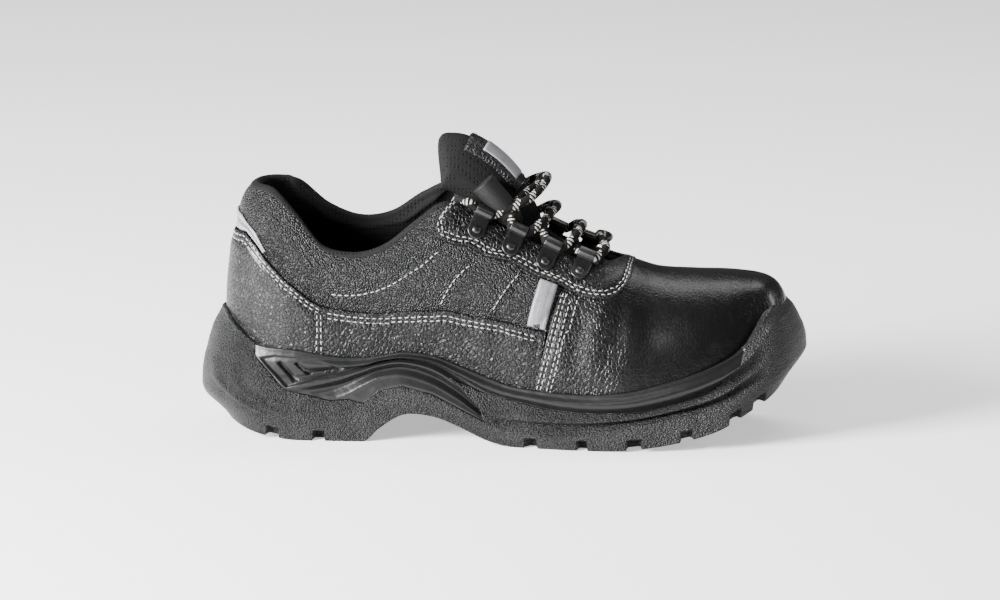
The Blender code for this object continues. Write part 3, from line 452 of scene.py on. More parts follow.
def sole_surface():
    """Rings from the tread's midline over the edge and up the stepped side to the lip and into the cup."""
    at = sole_columns()

    def both(name):
        return around(SOLE[name], SOLE[name], at)

    share = both("along")
    x = along_at(share)
    y = around(-SOLE["lateral"], SOLE["medial"], at) * BALL_WIDTH + AXIS_Y
    dx = np.roll(x, -1) - np.roll(x, 1)
    dy = np.roll(y, -1) - np.roll(y, 1)
    out = np.stack([dy, -dx]) / np.hypot(dx, dy)
    kick, lean = (np.maximum(both(name), 0) * MM for name in ("kick", "lean"))
    heights = np.stack([np.maximum(both(step), 0) * SEAT_HEIGHT for step, _, _ in SIDE_STEPS])
    plain = 1 - smooth_step(share, 0.10, 0.24) * (1 - smooth_step(share, 0.88, 0.95))
    insets = np.array([(1 - plain) * waist + plain * end for _, waist, end in SIDE_STEPS]) * MM
    w = np.linspace(0, 7, 113)
    i = np.minimum(np.floor(w).astype(int), 6)
    f = w - i
    ease = f * f * (3 - 2 * f)
    z = heights[i] * (1 - f)[:, None] + heights[i + 1] * f[:, None]
    inset = insets[i] * (1 - ease)[:, None] + insets[i + 1] * ease[:, None]
    inset = inset + 1.6 * kick * (1 - np.clip(w / 1.8, 0, 1))[:, None] ** 2
    middle, lip = heights[1], heights[7]
    inset = inset + lean * np.clip((z - middle) / (lip - middle), 0, 1) ** 2.2
    tread = heights[0]
    gap = groove_share(x)
    mouth = 1 - smooth_step(z, tread + GROOVE_DEPTH * 0.8, tread + GROOVE_DEPTH * 1.25)
    inset = inset + gap * GROOVE_BACK * mouth
    sx = np.broadcast_to(x, z.shape)
    mid = outline_distance(MIDSOLE_OUTLINE, sx, z)
    # Valley and step fade out where the smooth band ends on the toe bumper
    fade = 1 - 0.85 * smooth_step(share, 0.870, 0.900)
    seam = SEAM_DEPTH * fade * np.exp(-((mid / SEAM_WIDTH) ** 2))
    step_out = ROUGH_PROUD * fade * smooth_step(mid, -0.3 * MM, 0.5 * MM)
    pocket = PANEL_DEPTH * (1 - smooth_step(outline_distance(PANEL_OUTLINE, sx, z), -0.7 * MM, 0.2 * MM))
    slots = np.minimum(*(outline_distance(outline, sx, z) for outline in SLOT_OUTLINES))
    slit = SLOT_DEPTH * (1 - smooth_step(slots, -0.45 * MM, 0.15 * MM))
    # Three ridges sweep down and forward over each side of the heel cup
    heel_ribs = np.zeros_like(z)
    for start in CUP_RIDGES:
        path = start + 0.105 * np.clip((30 * MM - z) / (20 * MM), 0, 1.2) ** 1.5
        heel_ribs += np.exp(-(((share - path) / 0.0085) ** 2))
    heel_ribs *= smooth_step(z, 11 * MM, 16 * MM) * (1 - smooth_step(z, 30 * MM, 40 * MM))
    heel_ribs *= smooth_step(mid, 0.5 * MM, 3.0 * MM)
    inset = inset + seam - step_out + pocket + slit - CUP_RIDGE_HEIGHT * heel_ribs
    side = np.stack([x - out[0] * inset, y - out[1] * inset, z], axis=-1)
    # Under the foot: from the midline to the tread edge, with the grooves and a long middle channel
    edge = side[0]
    order = np.argsort(at)
    places = np.arange(len(at))
    partner = np.interp(np.mod(SOLE_TURNS - at, SOLE_TURNS), at[order], places[order])
    centre = (edge + read_along(partner, places, edge)) / 2
    floor_z = tread + gap * GROOVE_DEPTH
    k = np.array([0.0, 0.10, 0.12, 0.30, 0.55, 0.8, 0.93, 0.99])
    under = centre[None] * (1 - k)[:, None, None] + edge[None] * k[:, None, None]
    under[:, :, 2] = floor_z
    channel = (1 - smooth_step(k, 0.10, 0.12))[:, None] * CHANNEL_DEPTH
    wide = np.abs(edge[:, 1] - centre[:, 1]) > 8 * MM
    under[:, :, 2] += channel * (1 - gap) * ((tread < 14 * MM) & wide)
    side[0, :, 2] = floor_z
    # Lip: rounded over to the leather, then down inside the cup and closed under the insole
    top = side[-1]
    turned = [(LIP_ROLL * (1 - math.cos(t)), LIP_ROLL * math.sin(t)) for t in np.radians([25, 50, 75, 90])]
    lip_rows = [
        np.stack([top[:, 0] - out[0] * inward, top[:, 1] - out[1] * inward, top[:, 2] + up], axis=-1)
        for inward, up in (*turned, (3.2 * MM, LIP_ROLL - 0.3 * MM), (4.2 * MM, LIP_ROLL - 3.5 * MM))
    ]
    floor_height = np.interp(x, [-0.14, -0.05, 0.02, 0.06, 0.14], [30 * MM, 28 * MM, 18 * MM, 15 * MM, 27 * MM])
    low = lip_rows[-1].copy()
    low[:, 2] = np.minimum(low[:, 2] - 1 * MM, floor_height)
    hub = (low + read_along(partner, places, low)) / 2
    points = np.concatenate([under, side, np.stack(lip_rows), low[None], hub[None]])
    fill = np.full((len(under), len(at)), 5 * MM)
    tail = np.full((len(lip_rows) + 2, len(at)), 1.0) * mid[-1]
    return points.transpose(1, 0, 2), np.concatenate([fill, mid, tail]).T


def rough_compound():
    """Black sole compound from a spark-eroded mould, smooth where the midsole field is negative, with painted
    glints on its rough grit.
    """
    f = Finish("sole_compound", specular_ior_level=0.30)
    where = f.place()
    smooth_part = f.field("midsole_distance").above(0.25 * MM, -0.25 * MM)
    rough = 1 - smooth_part
    grit = f.noise(where, 0.75 * MM, 2.0, 0.6)
    crumbs = f.cells(where, 0.95 * MM, "SMOOTH_F1", smooth=0.3)
    patches = f.noise(where, 16 * MM, 3.0)
    scuffs = f.noise(f.place((0.25, 1.0, 1.0)), 2.2 * MM, 4.0, 0.6).above(0.60, 0.78)
    dust = patches.above(0.42, 0.72) * 0.4
    dark = f.blend(smooth_part, (0.0050, 0.0050, 0.0052), (0.0060, 0.0060, 0.0062))
    pale = f.blend(smooth_part, (0.040, 0.040, 0.042), (0.015, 0.015, 0.016))
    # The pale speckle on the grit's raised points is painted glint; the dust patches and scuffs are real.
    colour = f.blend(dust * 0.5 + scuffs * 0.3 + grit.above(0.55, 0.72) * rough * 0.45, dark, pale)
    f.drive(Base_Color=colour, Roughness=0.26 + rough * 0.10 + patches * 0.08 + scuffs * 0.12)
    f.relief(
        (f.noise(where, 5 * MM, 3.0), 0.25 * MM),
        (((1 - crumbs) * 0.7 + grit) * rough, 1.9 * MM),
        (f.noise(where, 0.35 * MM, 2.0) * smooth_part, 0.035 * MM),
    )
    return f


sole_points, midsole_field = sole_surface()
sole = grid_piece(
    "sole_unit", sole_points, wrap_across=True, weld=2e-6, fields={"midsole_distance": midsole_field},
)
sole_finish = rough_compound()
dress(sole, sole_finish, "outsole_rubber", "outsole", "midsole")

# Upper: padded collar, side pads and lining over the last. Satin-faced foam outside, black mesh lining inside,
# all stitched to the leather pieces and lasted under the insole.
UPPER = table(
    "foot foot_lateral foot_medial foot_height head head_lateral head_medial height_lateral"
    " height_medial flare belly roll crown",
    [
        (0.050, 0.000, 0.000, 1.000, 0.096, 0.000, 0.000, 1.000, 1.000, 0.040, 0.40, 50, 0.24),
        (0.066, 0.142, 0.142, 1.000, 0.103, 0.094, 0.094, 1.000, 1.000, 0.035, 0.40, 48, 0.24),
        (0.106, 0.241, 0.241, 1.000, 0.126, 0.160, 0.160, 0.996, 1.000, 0.030, 0.40, 42, 0.22),
        (0.159, 0.297, 0.288, 1.000, 0.159, 0.208, 0.198, 0.918, 0.984, 0.030, 0.42, 36, 0.20),
        (0.212, 0.306, 0.294, 0.971, 0.205, 0.241, 0.231, 0.783, 0.885, 0.030, 0.42, 34, 0.18),
        (0.265, 0.307, 0.291, 0.943, 0.258, 0.259, 0.250, 0.750, 0.832, 0.030, 0.42, 34, 0.18),
        (0.318, 0.308, 0.279, 0.929, 0.311, 0.259, 0.245, 0.783, 0.852, 0.020, 0.42, 36, 0.18),
        (0.371, 0.313, 0.274, 0.857, 0.364, 0.241, 0.231, 0.889, 0.939, 0.010, 0.42, 42, 0.22),
        (0.417, 0.326, 0.274, 0.800, 0.414, 0.208, 0.203, 0.963, 0.984, 0.000, 0.42, 52, 0.26),
        (0.480, 0.353, 0.291, 0.714, 0.480, 0.190, 0.186, 0.888, 0.896, 0.000, 0.44, 52, 0.30),
        (0.546, 0.387, 0.325, 0.629, 0.546, 0.178, 0.172, 0.805, 0.813, 0.000, 0.46, 52, 0.34),
        (0.613, 0.420, 0.371, 0.571, 0.613, 0.155, 0.152, 0.738, 0.744, 0.000, 0.48, 55, 0.38),
        (0.669, 0.434, 0.396, 0.571, 0.669, 0.106, 0.106, 0.710, 0.712, 0.000, 0.52, 68, 0.46),
        (0.702, 0.443, 0.412, 0.571, 0.702, 0.000, 0.000, 0.704, 0.704, 0.000, 0.54, 88, 0.54),
        (0.755, 0.434, 0.422, 0.600, 0.755, -0.009, 0.009, 0.664, 0.664, 0.000, 0.56, 90, 0.56),
        (0.815, 0.408, 0.411, 0.671, 0.815, -0.019, 0.019, 0.654, 0.654, 0.000, 0.60, 90, 0.60),
        (0.871, 0.335, 0.380, 0.757, 0.861, -0.033, 0.033, 0.650, 0.650, 0.000, 0.66, 90, 0.64),
        (0.917, 0.236, 0.307, 0.843, 0.891, -0.042, 0.042, 0.644, 0.644, 0.000, 0.72, 90, 0.66),
        (0.954, 0.132, 0.217, 0.900, 0.904, -0.047, 0.047, 0.638, 0.638, 0.000, 0.78, 90, 0.70),
        (0.970, -0.047, 0.047, 0.914, 0.911, -0.047, 0.047, 0.635, 0.635, 0.000, 0.82, 90, 0.74),
    ],
)
UPPER_TURNS = 2 * (len(UPPER["foot"]) - 1)
RIDGE_ROW = 13             # from this rib on, both sides meet on the ridge
COLLAR_SEAM = table(
    "along height top",
    [
        (0.00, 0.87, 1.03), (0.08, 0.86, 1.03), (0.14, 0.76, 0.98), (0.21, 0.605, 0.80),
        (0.27, 0.600, 0.77), (0.33, 0.648, 0.80), (0.38, 0.735, 0.90), (0.42, 0.82, 0.98),
    ],
)
COLLAR_PUFF = 3.0 * MM
PAD_SEAMS = (0.270, 0.400, 0.487, 0.562)
PAD_LEAN = 0.30
PAD_PUFF = 3.0 * MM
LINING_WALL = 2.2 * MM
COLLAR_PADDING = 5.5 * MM
# Foot and top of the side pads in the side view: shares of the length, shares of the collar height
PAD_FOOT = ((0.21, 0.275, 0.394, 0.48, 0.53, 0.56), (0.553, 0.529, 0.541, 0.516, 0.496, 0.48))
PAD_TOP = ((0.27, 0.33, 0.38, 0.42, 0.47, 0.51, 0.56, 0.60), (0.6, 0.648, 0.735, 0.8, 0.78, 0.74, 0.68, 0.64))


def on_ridge(col):
    """Whether a rib lies where both sides meet on the ridge."""
    turned = np.mod(col, UPPER_TURNS)
    return (turned >= RIDGE_ROW) & (turned <= UPPER_TURNS - RIDGE_ROW)


def rib(col, rise):
    """A point of the last: a cubic curve that stands up from the foot of a rib and rolls in to its head."""
    col, rise = np.broadcast_arrays(np.asarray(col, float), np.asarray(rise, float))
    ridge = on_ridge(col)

    def both(name):
        return around(UPPER[name], UPPER[name], col)

    def head(lateral, medial):
        here = around(lateral, medial, col)
        return np.where(ridge, (here + around(lateral, medial, UPPER_TURNS - col)) / 2, here)

    fx = along_at(both("foot"))
    fy = around(-UPPER["foot_lateral"], UPPER["foot_medial"], col) * BALL_WIDTH + AXIS_Y
    fz = both("foot_height") * SEAT_HEIGHT
    hx = along_at(both("head"))
    hy = head(-UPPER["head_lateral"], UPPER["head_medial"]) * BALL_WIDTH + AXIS_Y
    hz = head(UPPER["height_lateral"], UPPER["height_medial"]) * COLLAR_HEIGHT
    roll = np.radians(both("roll"))
    reach = np.hypot(fx - hx, fy - hy)
    out_x, out_y = (fx - hx) / reach, (fy - hy) / reach
    height = hz - fz
    hang = both("crown") * (reach * np.sin(roll) + height * np.cos(roll))
    low, away = both("flare") * height, hang * np.sin(roll)
    t = rise
    weights = ((1 - t) ** 3, 3 * (1 - t) ** 2 * t, 3 * (1 - t) * t**2, t**3)
    xs = (fx, fx + out_x * low, hx + out_x * away, hx)
    ys = (fy, fy + out_y * low, hy + out_y * away, hy)
    zs = (fz, fz + both("belly") * height, hz - hang * np.cos(roll), hz)
    return np.stack([sum(w * v for w, v in zip(weights, axis)) for axis in (xs, ys, zs)], axis=-1)


def rib_normal(col, rise):
    """The direction out of the last: across the ribs times along them."""
    across = rib(col + 0.03, rise) - rib(col - 0.03, rise)
    upward = rib(col, rise + 0.004) - rib(col, rise - 0.004)
    normal = np.cross(across, upward)
    return normal / np.maximum(np.linalg.norm(normal, axis=-1), 1e-12)[..., None]


def puffs(bare):
    """How far the collar roll and the side pads stand out at points of the last, with valleys at their seams."""
    along = bare[..., 0] / SHOE_LENGTH + 0.5
    up = bare[..., 2] / COLLAR_HEIGHT
    seam = np.interp(along, COLLAR_SEAM["along"], COLLAR_SEAM["height"])
    top = np.interp(along, COLLAR_SEAM["along"], COLLAR_SEAM["top"])
    fade = np.clip((0.44 - along) / 0.05, 0, 1)
    share = np.clip((up - seam) / (top + 0.03 - seam), 0, 1)
    collar = COLLAR_PUFF * fade * np.sin(np.pi * share) ** 0.6
    low, high = np.interp(along, *PAD_FOOT), np.interp(along, *PAD_TOP)
    rise = np.clip((up - low) / (high + 0.02 - low), 0, 1)
    lean = along - PAD_LEAN * (up - low)
    pads = sum(bump(lean, a, b) ** 0.28 for a, b in zip(PAD_SEAMS, PAD_SEAMS[1:]))
    return collar + PAD_PUFF * pads * np.sin(np.pi * rise) ** 0.5


# Soft creases where the foot bends the shoe, in the side view: ends (share of length, share of collar
# height), then half width and depth in millimetres
CREASES = (
    ((0.640, 0.56), (0.622, 0.30), 5.0, 0.60), ((0.690, 0.58), (0.682, 0.34), 6.0, 0.70),
    ((0.735, 0.62), (0.745, 0.40), 7.0, 0.55), ((0.590, 0.42), (0.575, 0.27), 4.0, 0.35),
    ((0.500, 0.48), (0.508, 0.32), 4.5, 0.45), ((0.440, 0.50), (0.452, 0.37), 5.0, 0.35),
    ((0.330, 0.50), (0.320, 0.38), 5.0, 0.35), ((0.250, 0.50), (0.262, 0.38), 5.0, 0.40),
    ((0.120, 0.66), (0.135, 0.42), 6.0, 0.60), ((0.160, 0.56), (0.175, 0.40), 4.0, 0.35),
)


def creases(bare):
    """Depth of the creases at points of the last: a soft trough along each line with low banks beside it."""
    x = bare[..., 0] / MM
    z = bare[..., 2] / MM
    depth = np.zeros(x.shape)
    for (a, b), (c, d), width, deep in CREASES:
        ax, az = along_at(a) / MM, b * COLLAR_HEIGHT / MM
        dx, dz = (c - a) * SHOE_LENGTH / MM, (d - b) * COLLAR_HEIGHT / MM
        length = math.hypot(dx, dz)
        along = ((x - ax) * dx + (z - az) * dz) / length**2
        off = np.abs((x - ax) * dz - (z - az) * dx) / length
        ends = np.exp(-(np.clip(np.abs(along - 0.5) - 0.3, 0, 9) / 0.22) ** 2)
        trough = np.exp(-((off / width) ** 2))
        bank = np.exp(-((off / width - 1.7) ** 2))
        depth += deep * ends * (trough - 0.45 * bank)
    return depth * MM


def on_last(col, rise, lift=0.0):
    """A point at a height over the padded last."""
    bare = rib(col, rise)
    return bare + rib_normal(col, rise) * (puffs(bare) - creases(bare) + lift)[..., None]


def soft_synthetic():
    """Black satin-faced foam with a fine round grain."""
    f = Finish("soft_synthetic", specular_ior_level=0.28)
    where = f.place()
    grain = f.cells(where, 0.85 * MM, "SMOOTH_F1", smooth=0.35)
    patches = f.noise(where, 22 * MM, 3.0)
    dust = f.noise(where, 0.9 * MM, 3.0, 0.7).above(0.62, 0.82) * patches.above(0.45, 0.7)
    colour = f.blend(dust * 0.35 + patches * 0.25, (0.0030, 0.0030, 0.0032), (0.015, 0.015, 0.016))
    f.drive(Base_Color=colour, Roughness=0.28 + patches * 0.10 + grain * 0.08)
    f.relief((f.noise(where, 9 * MM, 3.0), 0.5 * MM), (1 - grain, 1.10 * MM))
    return f


def mesh_lining():
    """Black knitted lining: rows of small round holes, with painted shade in them."""
    f = Finish("mesh_lining", roughness=0.85, specular_ior_level=0.16)
    where = f.place()
    holes = f.cells(where, 1.9 * MM, "F1", randomness=0.15)
    # The holes are painted darker than the strands: painted shade inside them.
    colour = f.blend(holes.above(0.12, 0.34), (0.0010, 0.0010, 0.0010), (0.0045, 0.0045, 0.0048))
    f.drive(Base_Color=colour)
    f.relief((holes.above(0.10, 0.40), 0.35 * MM), (f.noise(where, 0.4 * MM, 2.0), 0.1 * MM))
    return f


def wall_thickness(col, rise):
    """Lining and foam behind the outside: thicker all round the collar."""
    along = rib(col, rise)[..., 0] / SHOE_LENGTH + 0.5
    fade = np.clip((0.43 - along) / 0.05, 0, 1)
    return LINING_WALL + COLLAR_PADDING * fade * bump(rise, 0.42, 1.12)


def over_topline(at, a, b, fullness, degrees):
    """Rings of a bulged half round, from the outside's last ring to the inside's first."""
    crest = rib(at, np.ones_like(at)) - rib(at, np.full_like(at, 0.98))
    crest /= np.linalg.norm(crest, axis=-1)[:, None]
    bulge = (np.linalg.norm(a - b, axis=-1) * fullness)[:, None]
    middle, half = (a + b) / 2, (a - b) / 2
    return np.stack(
        [middle + half * math.cos(t) + crest * bulge * math.sin(t) for t in np.radians(degrees)], axis=1,
    )


def upper_shell():
    """Each rib runs up the outside, over the topline in a half round, and down the inside."""
    at = np.linspace(0, UPPER_TURNS, 305)[:-1]
    up = np.concatenate([np.linspace(0, 0.55, 16), np.linspace(0.57, 1.0, 34)])
    down = np.linspace(1.0, 0.02, 30)
    col, rise = np.meshgrid(at, up, indexing="ij")
    outside = on_last(col, rise)
    col_in, rise_in = np.meshgrid(at, down, indexing="ij")
    inside = on_last(col_in, rise_in, -wall_thickness(col_in, rise_in))
    ridge = on_ridge(at)
    rim = over_topline(at, outside[:, -1], inside[:, 0], 0.42 * ~ridge, [36, 72, 108, 144])
    points = np.concatenate([outside, rim, inside], axis=1)
    closed = np.zeros((points.shape[0], points.shape[1] - 1), bool)
    closed[ridge, len(up) - 1 : len(up) + 4] = True
    return points, closed


def lining_shell():
    """The mesh lining: over the inside of the wall, round the topline and down to its seam on the outside."""
    at = np.linspace(-RIDGE_ROW + 0.2, RIDGE_ROW - 0.2, 261)
    down = np.linspace(1.0, 0.04, 40)
    over = np.linspace(0.945, 0.99, 5)
    cover = 0.5 * MM
    col, rise = np.meshgrid(at, over, indexing="ij")
    fall = np.array([0.0, 0.8, 1.0, 1.0, 1.0])
    outside = on_last(col, rise, cover * fall - 0.05 * MM)
    col_in, rise_in = np.meshgrid(at, down, indexing="ij")
    inside = on_last(col_in, rise_in, -wall_thickness(col_in, rise_in) - cover)
    rim = over_topline(at, outside[:, -1], inside[:, 0], 0.46, [30, 60, 90, 120, 150])
    return np.concatenate([outside, rim, inside], axis=1)


upper_points, upper_closed = upper_shell()
collar_and_pads = grid_piece("collar_and_pads", upper_points, wrap_across=True, weld=5e-6, skip=upper_closed)
soft_finish = soft_synthetic()
dress(collar_and_pads, soft_finish, "soft_synthetic", "upper")
lining = grid_piece("mesh_lining", lining_shell())
lining_finish = mesh_lining()
dress(lining, lining_finish, "lining")

# Insole: the sock that covers the board, seen through the collar. The same black knit as the lining, glued
# to the board. Each ring of it: share of the foot's plan, height over the foot in millimetres.
INSOLE_RINGS = (
    (0.0, 4.4), (0.35, 4.5), (0.7, 4.6), (0.86, 5.0), (0.93, 6.0), (0.94, 5.4), (0.90, 1.0), (0.0, 1.0),
)


def insole_surface():
    """A pad that fills the foot bed: its plan narrowed ring by ring, its edge turned up against the lining."""
    at = np.linspace(0, UPPER_TURNS, 161)[:-1]
    foot = rib(at, np.zeros_like(at))
    other = foot[(len(at) - np.arange(len(at))) % len(at)]
    spine = (foot + other) / 2
    rings = []
    for share, lift in INSOLE_RINGS:
        ring = spine + (foot - spine) * share
        ring[:, 2] = foot[:, 2] + lift * MM
        rings.append(ring)
    return np.stack(rings, axis=1)


insole = grid_piece("insole_sock", insole_surface(), wrap_across=True, weld=4e-6)
dress(insole, lining_finish, "lining", "insole")

# Leather pieces: counter, quarters, vamp and eyestay, cut from one pebbled black hide and laid over the
# upper edge on edge, with three light reflective strips let in between them.
EDGE_ROUND = 1.1 * MM
HIDE_BASE = 0.25 * MM      # underside of every hide piece over the last
SEAM_TROUGH = 0.28 * MM
COUNTER_LIFT = VAMP_LIFT = 1.75 * MM
QUARTER_LIFT = 1.35 * MM
EYESTAY_LIFT = 2.35 * MM
SIDE_STRIP_LIFT = 1.55 * MM
HEEL_STRIP_LIFT = 1.2 * MM
# Borders in the side view: share of the length, share of the collar height
COUNTER_TOP = [
    (0.0596, 0.818), (0.083, 0.826), (0.101, 0.782), (0.118, 0.731), (0.149, 0.653), (0.182, 0.589),
    (0.213, 0.546),
]
COUNTER_FOOT = (0.214, 0.345)
QUARTER_TOP = [
    (0.200, 0.562), (0.238, 0.540), (0.275, 0.531), (0.335, 0.535), (0.394, 0.541), (0.440, 0.532), (0.480, 0.518),
    (0.530, 0.498), (0.556, 0.480), (0.580, 0.470),
]
VAMP_EDGE = [(0.557, 0.220), (0.570, 0.350), (0.583, 0.480), (0.597, 0.610), (0.625, 0.680), (0.665, 0.720)]
EYESTAY_EDGE = [
    (0.4185, 0.980), (0.407, 0.926), (0.396, 0.869), (0.4005, 0.826), (0.424, 0.806), (0.450, 0.800),
    (0.463, 0.780), (0.474, 0.761), (0.490, 0.750), (0.513, 0.738), (0.535, 0.710), (0.560, 0.676),
    (0.599, 0.640), (0.632, 0.601), (0.655, 0.589), (0.676, 0.587), (0.695, 0.596), (0.706, 0.622),
    (0.713, 0.655), (0.7155, 0.690),
]
SIDE_STRIP = ([(0.547, 0.490), (0.578, 0.472)], [(0.566, 0.672), (0.596, 0.645)])
HEEL_STRIP = (
    [(0.0596, 0.822), (0.083, 0.830), (0.101, 0.786), (0.112, 0.752)],
    [(0.063, 0.905), (0.080, 0.889), (0.098, 0.838), (0.117, 0.762)],
)


def side_view(points):
    """Shares of the length and of the collar height as places in metres."""
    return np.asarray(points, float) * (SHOE_LENGTH, COLLAR_HEIGHT) - (SHOE_LENGTH / 2, 0)


def locate(points, side):
    """Rib and rise of side-view points on one side: the nearest of a fine grid, then Newton's steps."""
    points = side_view(points)
    cols, rises = np.meshgrid(np.linspace(0, UPPER_TURNS / 2, 301), np.linspace(0, 1, 121), indexing="ij")
    if side > 0:
        cols = UPPER_TURNS - cols
    flat = rib(cols, rises)[..., [0, 2]].reshape(-1, 2)
    near = [int(np.argmin(np.sum((flat - p) ** 2, axis=1))) for p in points]
    col, rise = cols.ravel()[near], rises.ravel()[near]
    for _ in range(4):
        here = rib(col, rise)[:, [0, 2]]
        by_col = (rib(col + 0.02, rise)[:, [0, 2]] - here) / 0.02
        by_rise = (rib(col, rise + 0.005)[:, [0, 2]] - here) / 0.005
        gap = points - here
        det = by_col[:, 0] * by_rise[:, 1] - by_col[:, 1] * by_rise[:, 0]
        det = np.where(np.abs(det) < 1e-6, 1e9, det)
        step_col = (gap[:, 0] * by_rise[:, 1] - gap[:, 1] * by_rise[:, 0]) / det
        step_rise = (by_col[:, 0] * gap[:, 1] - by_col[:, 1] * gap[:, 0]) / det
        col = col + np.clip(step_col, -0.3, 0.3)
        rise = np.clip(rise + np.clip(step_rise, -0.05, 0.05), 0, 1)
    return np.stack([col, rise], axis=1)


def level(col, share):
    """The rise at which a rib reaches a share of the collar height."""
    rises = np.linspace(0, 1, 400)
    return float(np.interp(share * COLLAR_HEIGHT, rib(col, rises)[:, 2], rises))


def steps(length, free="ab", coarse=2.4 * MM):
    """Shares of a length from 0 to 1, close together for the last millimetres before each free end."""
    reach, fine = 6.5 * MM, 0.55 * MM
    start = np.arange(0, reach, fine) if "a" in free else np.arange(0, reach, coarse)
    stop = length - (np.arange(0, reach, fine) if "b" in free else np.arange(0, reach, coarse))[::-1]
    middle = np.linspace(start[-1], stop[0], max(2, int((stop[0] - start[-1]) / coarse) + 2))[1:-1]
    return np.concatenate([start, middle, stop]) / length


def arc_lengths(points, axis=0):
    """Length from the start of a line, or of every line of a grid, to each of its points."""
    gaps = np.linalg.norm(np.diff(points, axis=axis), axis=-1)
    start = np.zeros_like(np.take(gaps, [0], axis=axis))
    return np.concatenate([start, np.cumsum(gaps, axis=axis)], axis=axis)


def spread(line, shares, smooth=0.0):
    """A line of (rib, rise) points read at shares of its length on the shoe, its corners eased."""
    line = np.asarray(line, float)
    fine = np.concatenate([
        np.linspace(a, b, 24, endpoint=False) for a, b in zip(line[:-1], line[1:])
    ] + [line[-1:]])
    length = arc_lengths(rib(fine[:, 0], fine[:, 1]))
    count = 400
    out = read_along(np.linspace(0, length[-1], count), length, fine)
    if smooth:
        reach = max(1, int(round(smooth / (length[-1] / (count - 1)))))
        kernel = np.hanning(2 * reach + 3)[1:-1]
        kernel /= kernel.sum()
        padded = np.concatenate([
            2 * out[:1] - out[1 : reach + 1][::-1], out, 2 * out[-1:] - out[-reach - 1 : -1][::-1],
        ])
        out = np.stack([np.convolve(padded[:, k], kernel, mode="valid") for k in (0, 1)], axis=1)
    shares = np.linspace(0, 1, shares) if np.isscalar(shares) else np.asarray(shares)
    return read_along(shares * (count - 1), np.arange(count), out)


def patch(lower, upper, left, right, along, across):
    """Coons patch: the field of (rib, rise) between four border lines read at shares along and across it."""
    if left is None:
        left = [lower[0], upper[0]]
    if right is None:
        right = [lower[-1], upper[-1]]
    low, high = spread(lower, along, 2 * MM), spread(upper, along, 2 * MM)
    a, b = spread(left, across), spread(right, across)
    s, t = along[:, None, None], across[None, :, None]
    ruled = (1 - t) * low[:, None] + t * high[:, None] + (1 - s) * a[None] + s * b[None]
    corners = (1 - s) * ((1 - t) * low[0] + t * high[0]) + s * ((1 - t) * low[-1] + t * high[-1])
    return ruled - corners


def border_distances(points):
    """How far each point of a grid lies from its four borders, along the surface."""
    along, across = arc_lengths(points, 0), arc_lengths(points, 1)
    return {"left": along, "right": along[-1:] - along, "lower": across, "upper": across[:, -1:] - across}


def round_edge(off, radius):
    """0 at a border, rising in a quarter round to 1 at the radius from it."""
    return np.sqrt(1 - (1 - np.clip(off / radius, 0, 1)) ** 2)


def two_faced(name, under, top):
    """A closed sheet from two grids of points that meet on every border."""
    points = np.concatenate([under, top[:, ::-1]], axis=1)
    skip = np.zeros((points.shape[0] - 1, points.shape[1] - 1), bool)
    skip[:, under.shape[1] - 1] = True
    return grid_piece(name, points[:, ::-1], weld=4e-6, skip=skip)


def hide_lift(distances, lift, borders, rows, swell):
    """Height of a hide piece over the last: edge rounded down, a low swell inside it, a trough at each seam."""
    off = np.min([distances[label] for label in borders.split()], axis=0)
    edge = round_edge(off, EDGE_ROUND)
    height = HIDE_BASE + (lift - HIDE_BASE) * edge + swell * np.exp(-(((off - 8 * MM) / (3.5 * MM)) ** 2))
    for label, places in rows.items():
        for place in places:
            beside = (distances[label] - place * MM) / (0.75 * MM)
            height = height - SEAM_TROUGH * np.exp(-(beside**2)) * edge
    return height


STITCHED = []          # seams for the thread: points, outward directions


def hide_piece(name, field, lift, borders="lower upper left right", rows={}, swell=0.30 * MM):
    """A sheet of hide over the last on a (rib, rise) field, its free borders rounded down to its base."""
    col, rise = field[..., 0], field[..., 1]
    distances = border_distances(rib(col, rise))
    top = on_last(col, rise, hide_lift(distances, lift, borders, rows, swell))
    under = on_last(col, rise, np.full(col.shape, HIDE_BASE))
    for label, places in rows.items():
        axis = 0 if label in ("left", "right") else 1
        for place in places:
            near = np.abs(distances[label] - place * MM).argmin(axis=axis)
            at = (near, np.arange(len(near))) if axis == 0 else (np.arange(len(near)), near)
            STITCHED.append((name, label, top[at], rib_normal(col[at], rise[at])))
    return two_faced(name, under, top)


def pebbled_hide():
    """Semi-gloss black corrected hide with an embossed pebble, drawn upright on the sides and fine at the toe."""
    f = Finish("pebbled_hide", specular_ior_level=0.24, coat_roughness=0.20)
    where = f.warp(f.place((1.0, 1.0, 0.80)), 3.5 * MM, 0.6 * MM)
    x = f.split(f.place(), 0)
    front = x.above(0.022, 0.070)
    cup = 1 - x.above(-0.112, -0.088)
    tip = x.above(0.120, 0.134)
    grooves = 1 - f.cells(where, 1.9 * MM, "DISTANCE_TO_EDGE").above(0.0, 0.24)
    fine = 1 - f.cells(where, 1.15 * MM, "DISTANCE_TO_EDGE").above(0.0, 0.22)
    patches = f.noise(f.place(), 26 * MM, 3.0)
    rubbed = f.noise(f.place((1.0, 1.0, 0.5)), 7 * MM, 4.0, 0.65).above(0.56, 0.76)
    colour = f.blend(rubbed * 0.30 + patches * 0.15, (0.0026, 0.0026, 0.0028), (0.011, 0.011, 0.0114))
    f.drive(
        Base_Color=colour,
        Roughness=0.27 + patches * 0.10 + grooves * (1 - front) * 0.14 + rubbed * 0.08 - front * 0.04,
        Coat_Weight=0.06 + cup * 0.16 - front * 0.01 + tip * 0.25,
    )
    f.relief(
        (f.noise(f.place((1.0, 1.0, 0.8)), 14 * MM, 2.0), 0.6 * MM),
        (1 - grooves * (1 - front * 0.88), 0.46 * MM),
        (1 - fine * (0.35 - front * 0.20), 0.13 * MM),
        (f.noise(f.place(), 0.5 * MM, 2.0), 0.035 * MM),
    )
    return f


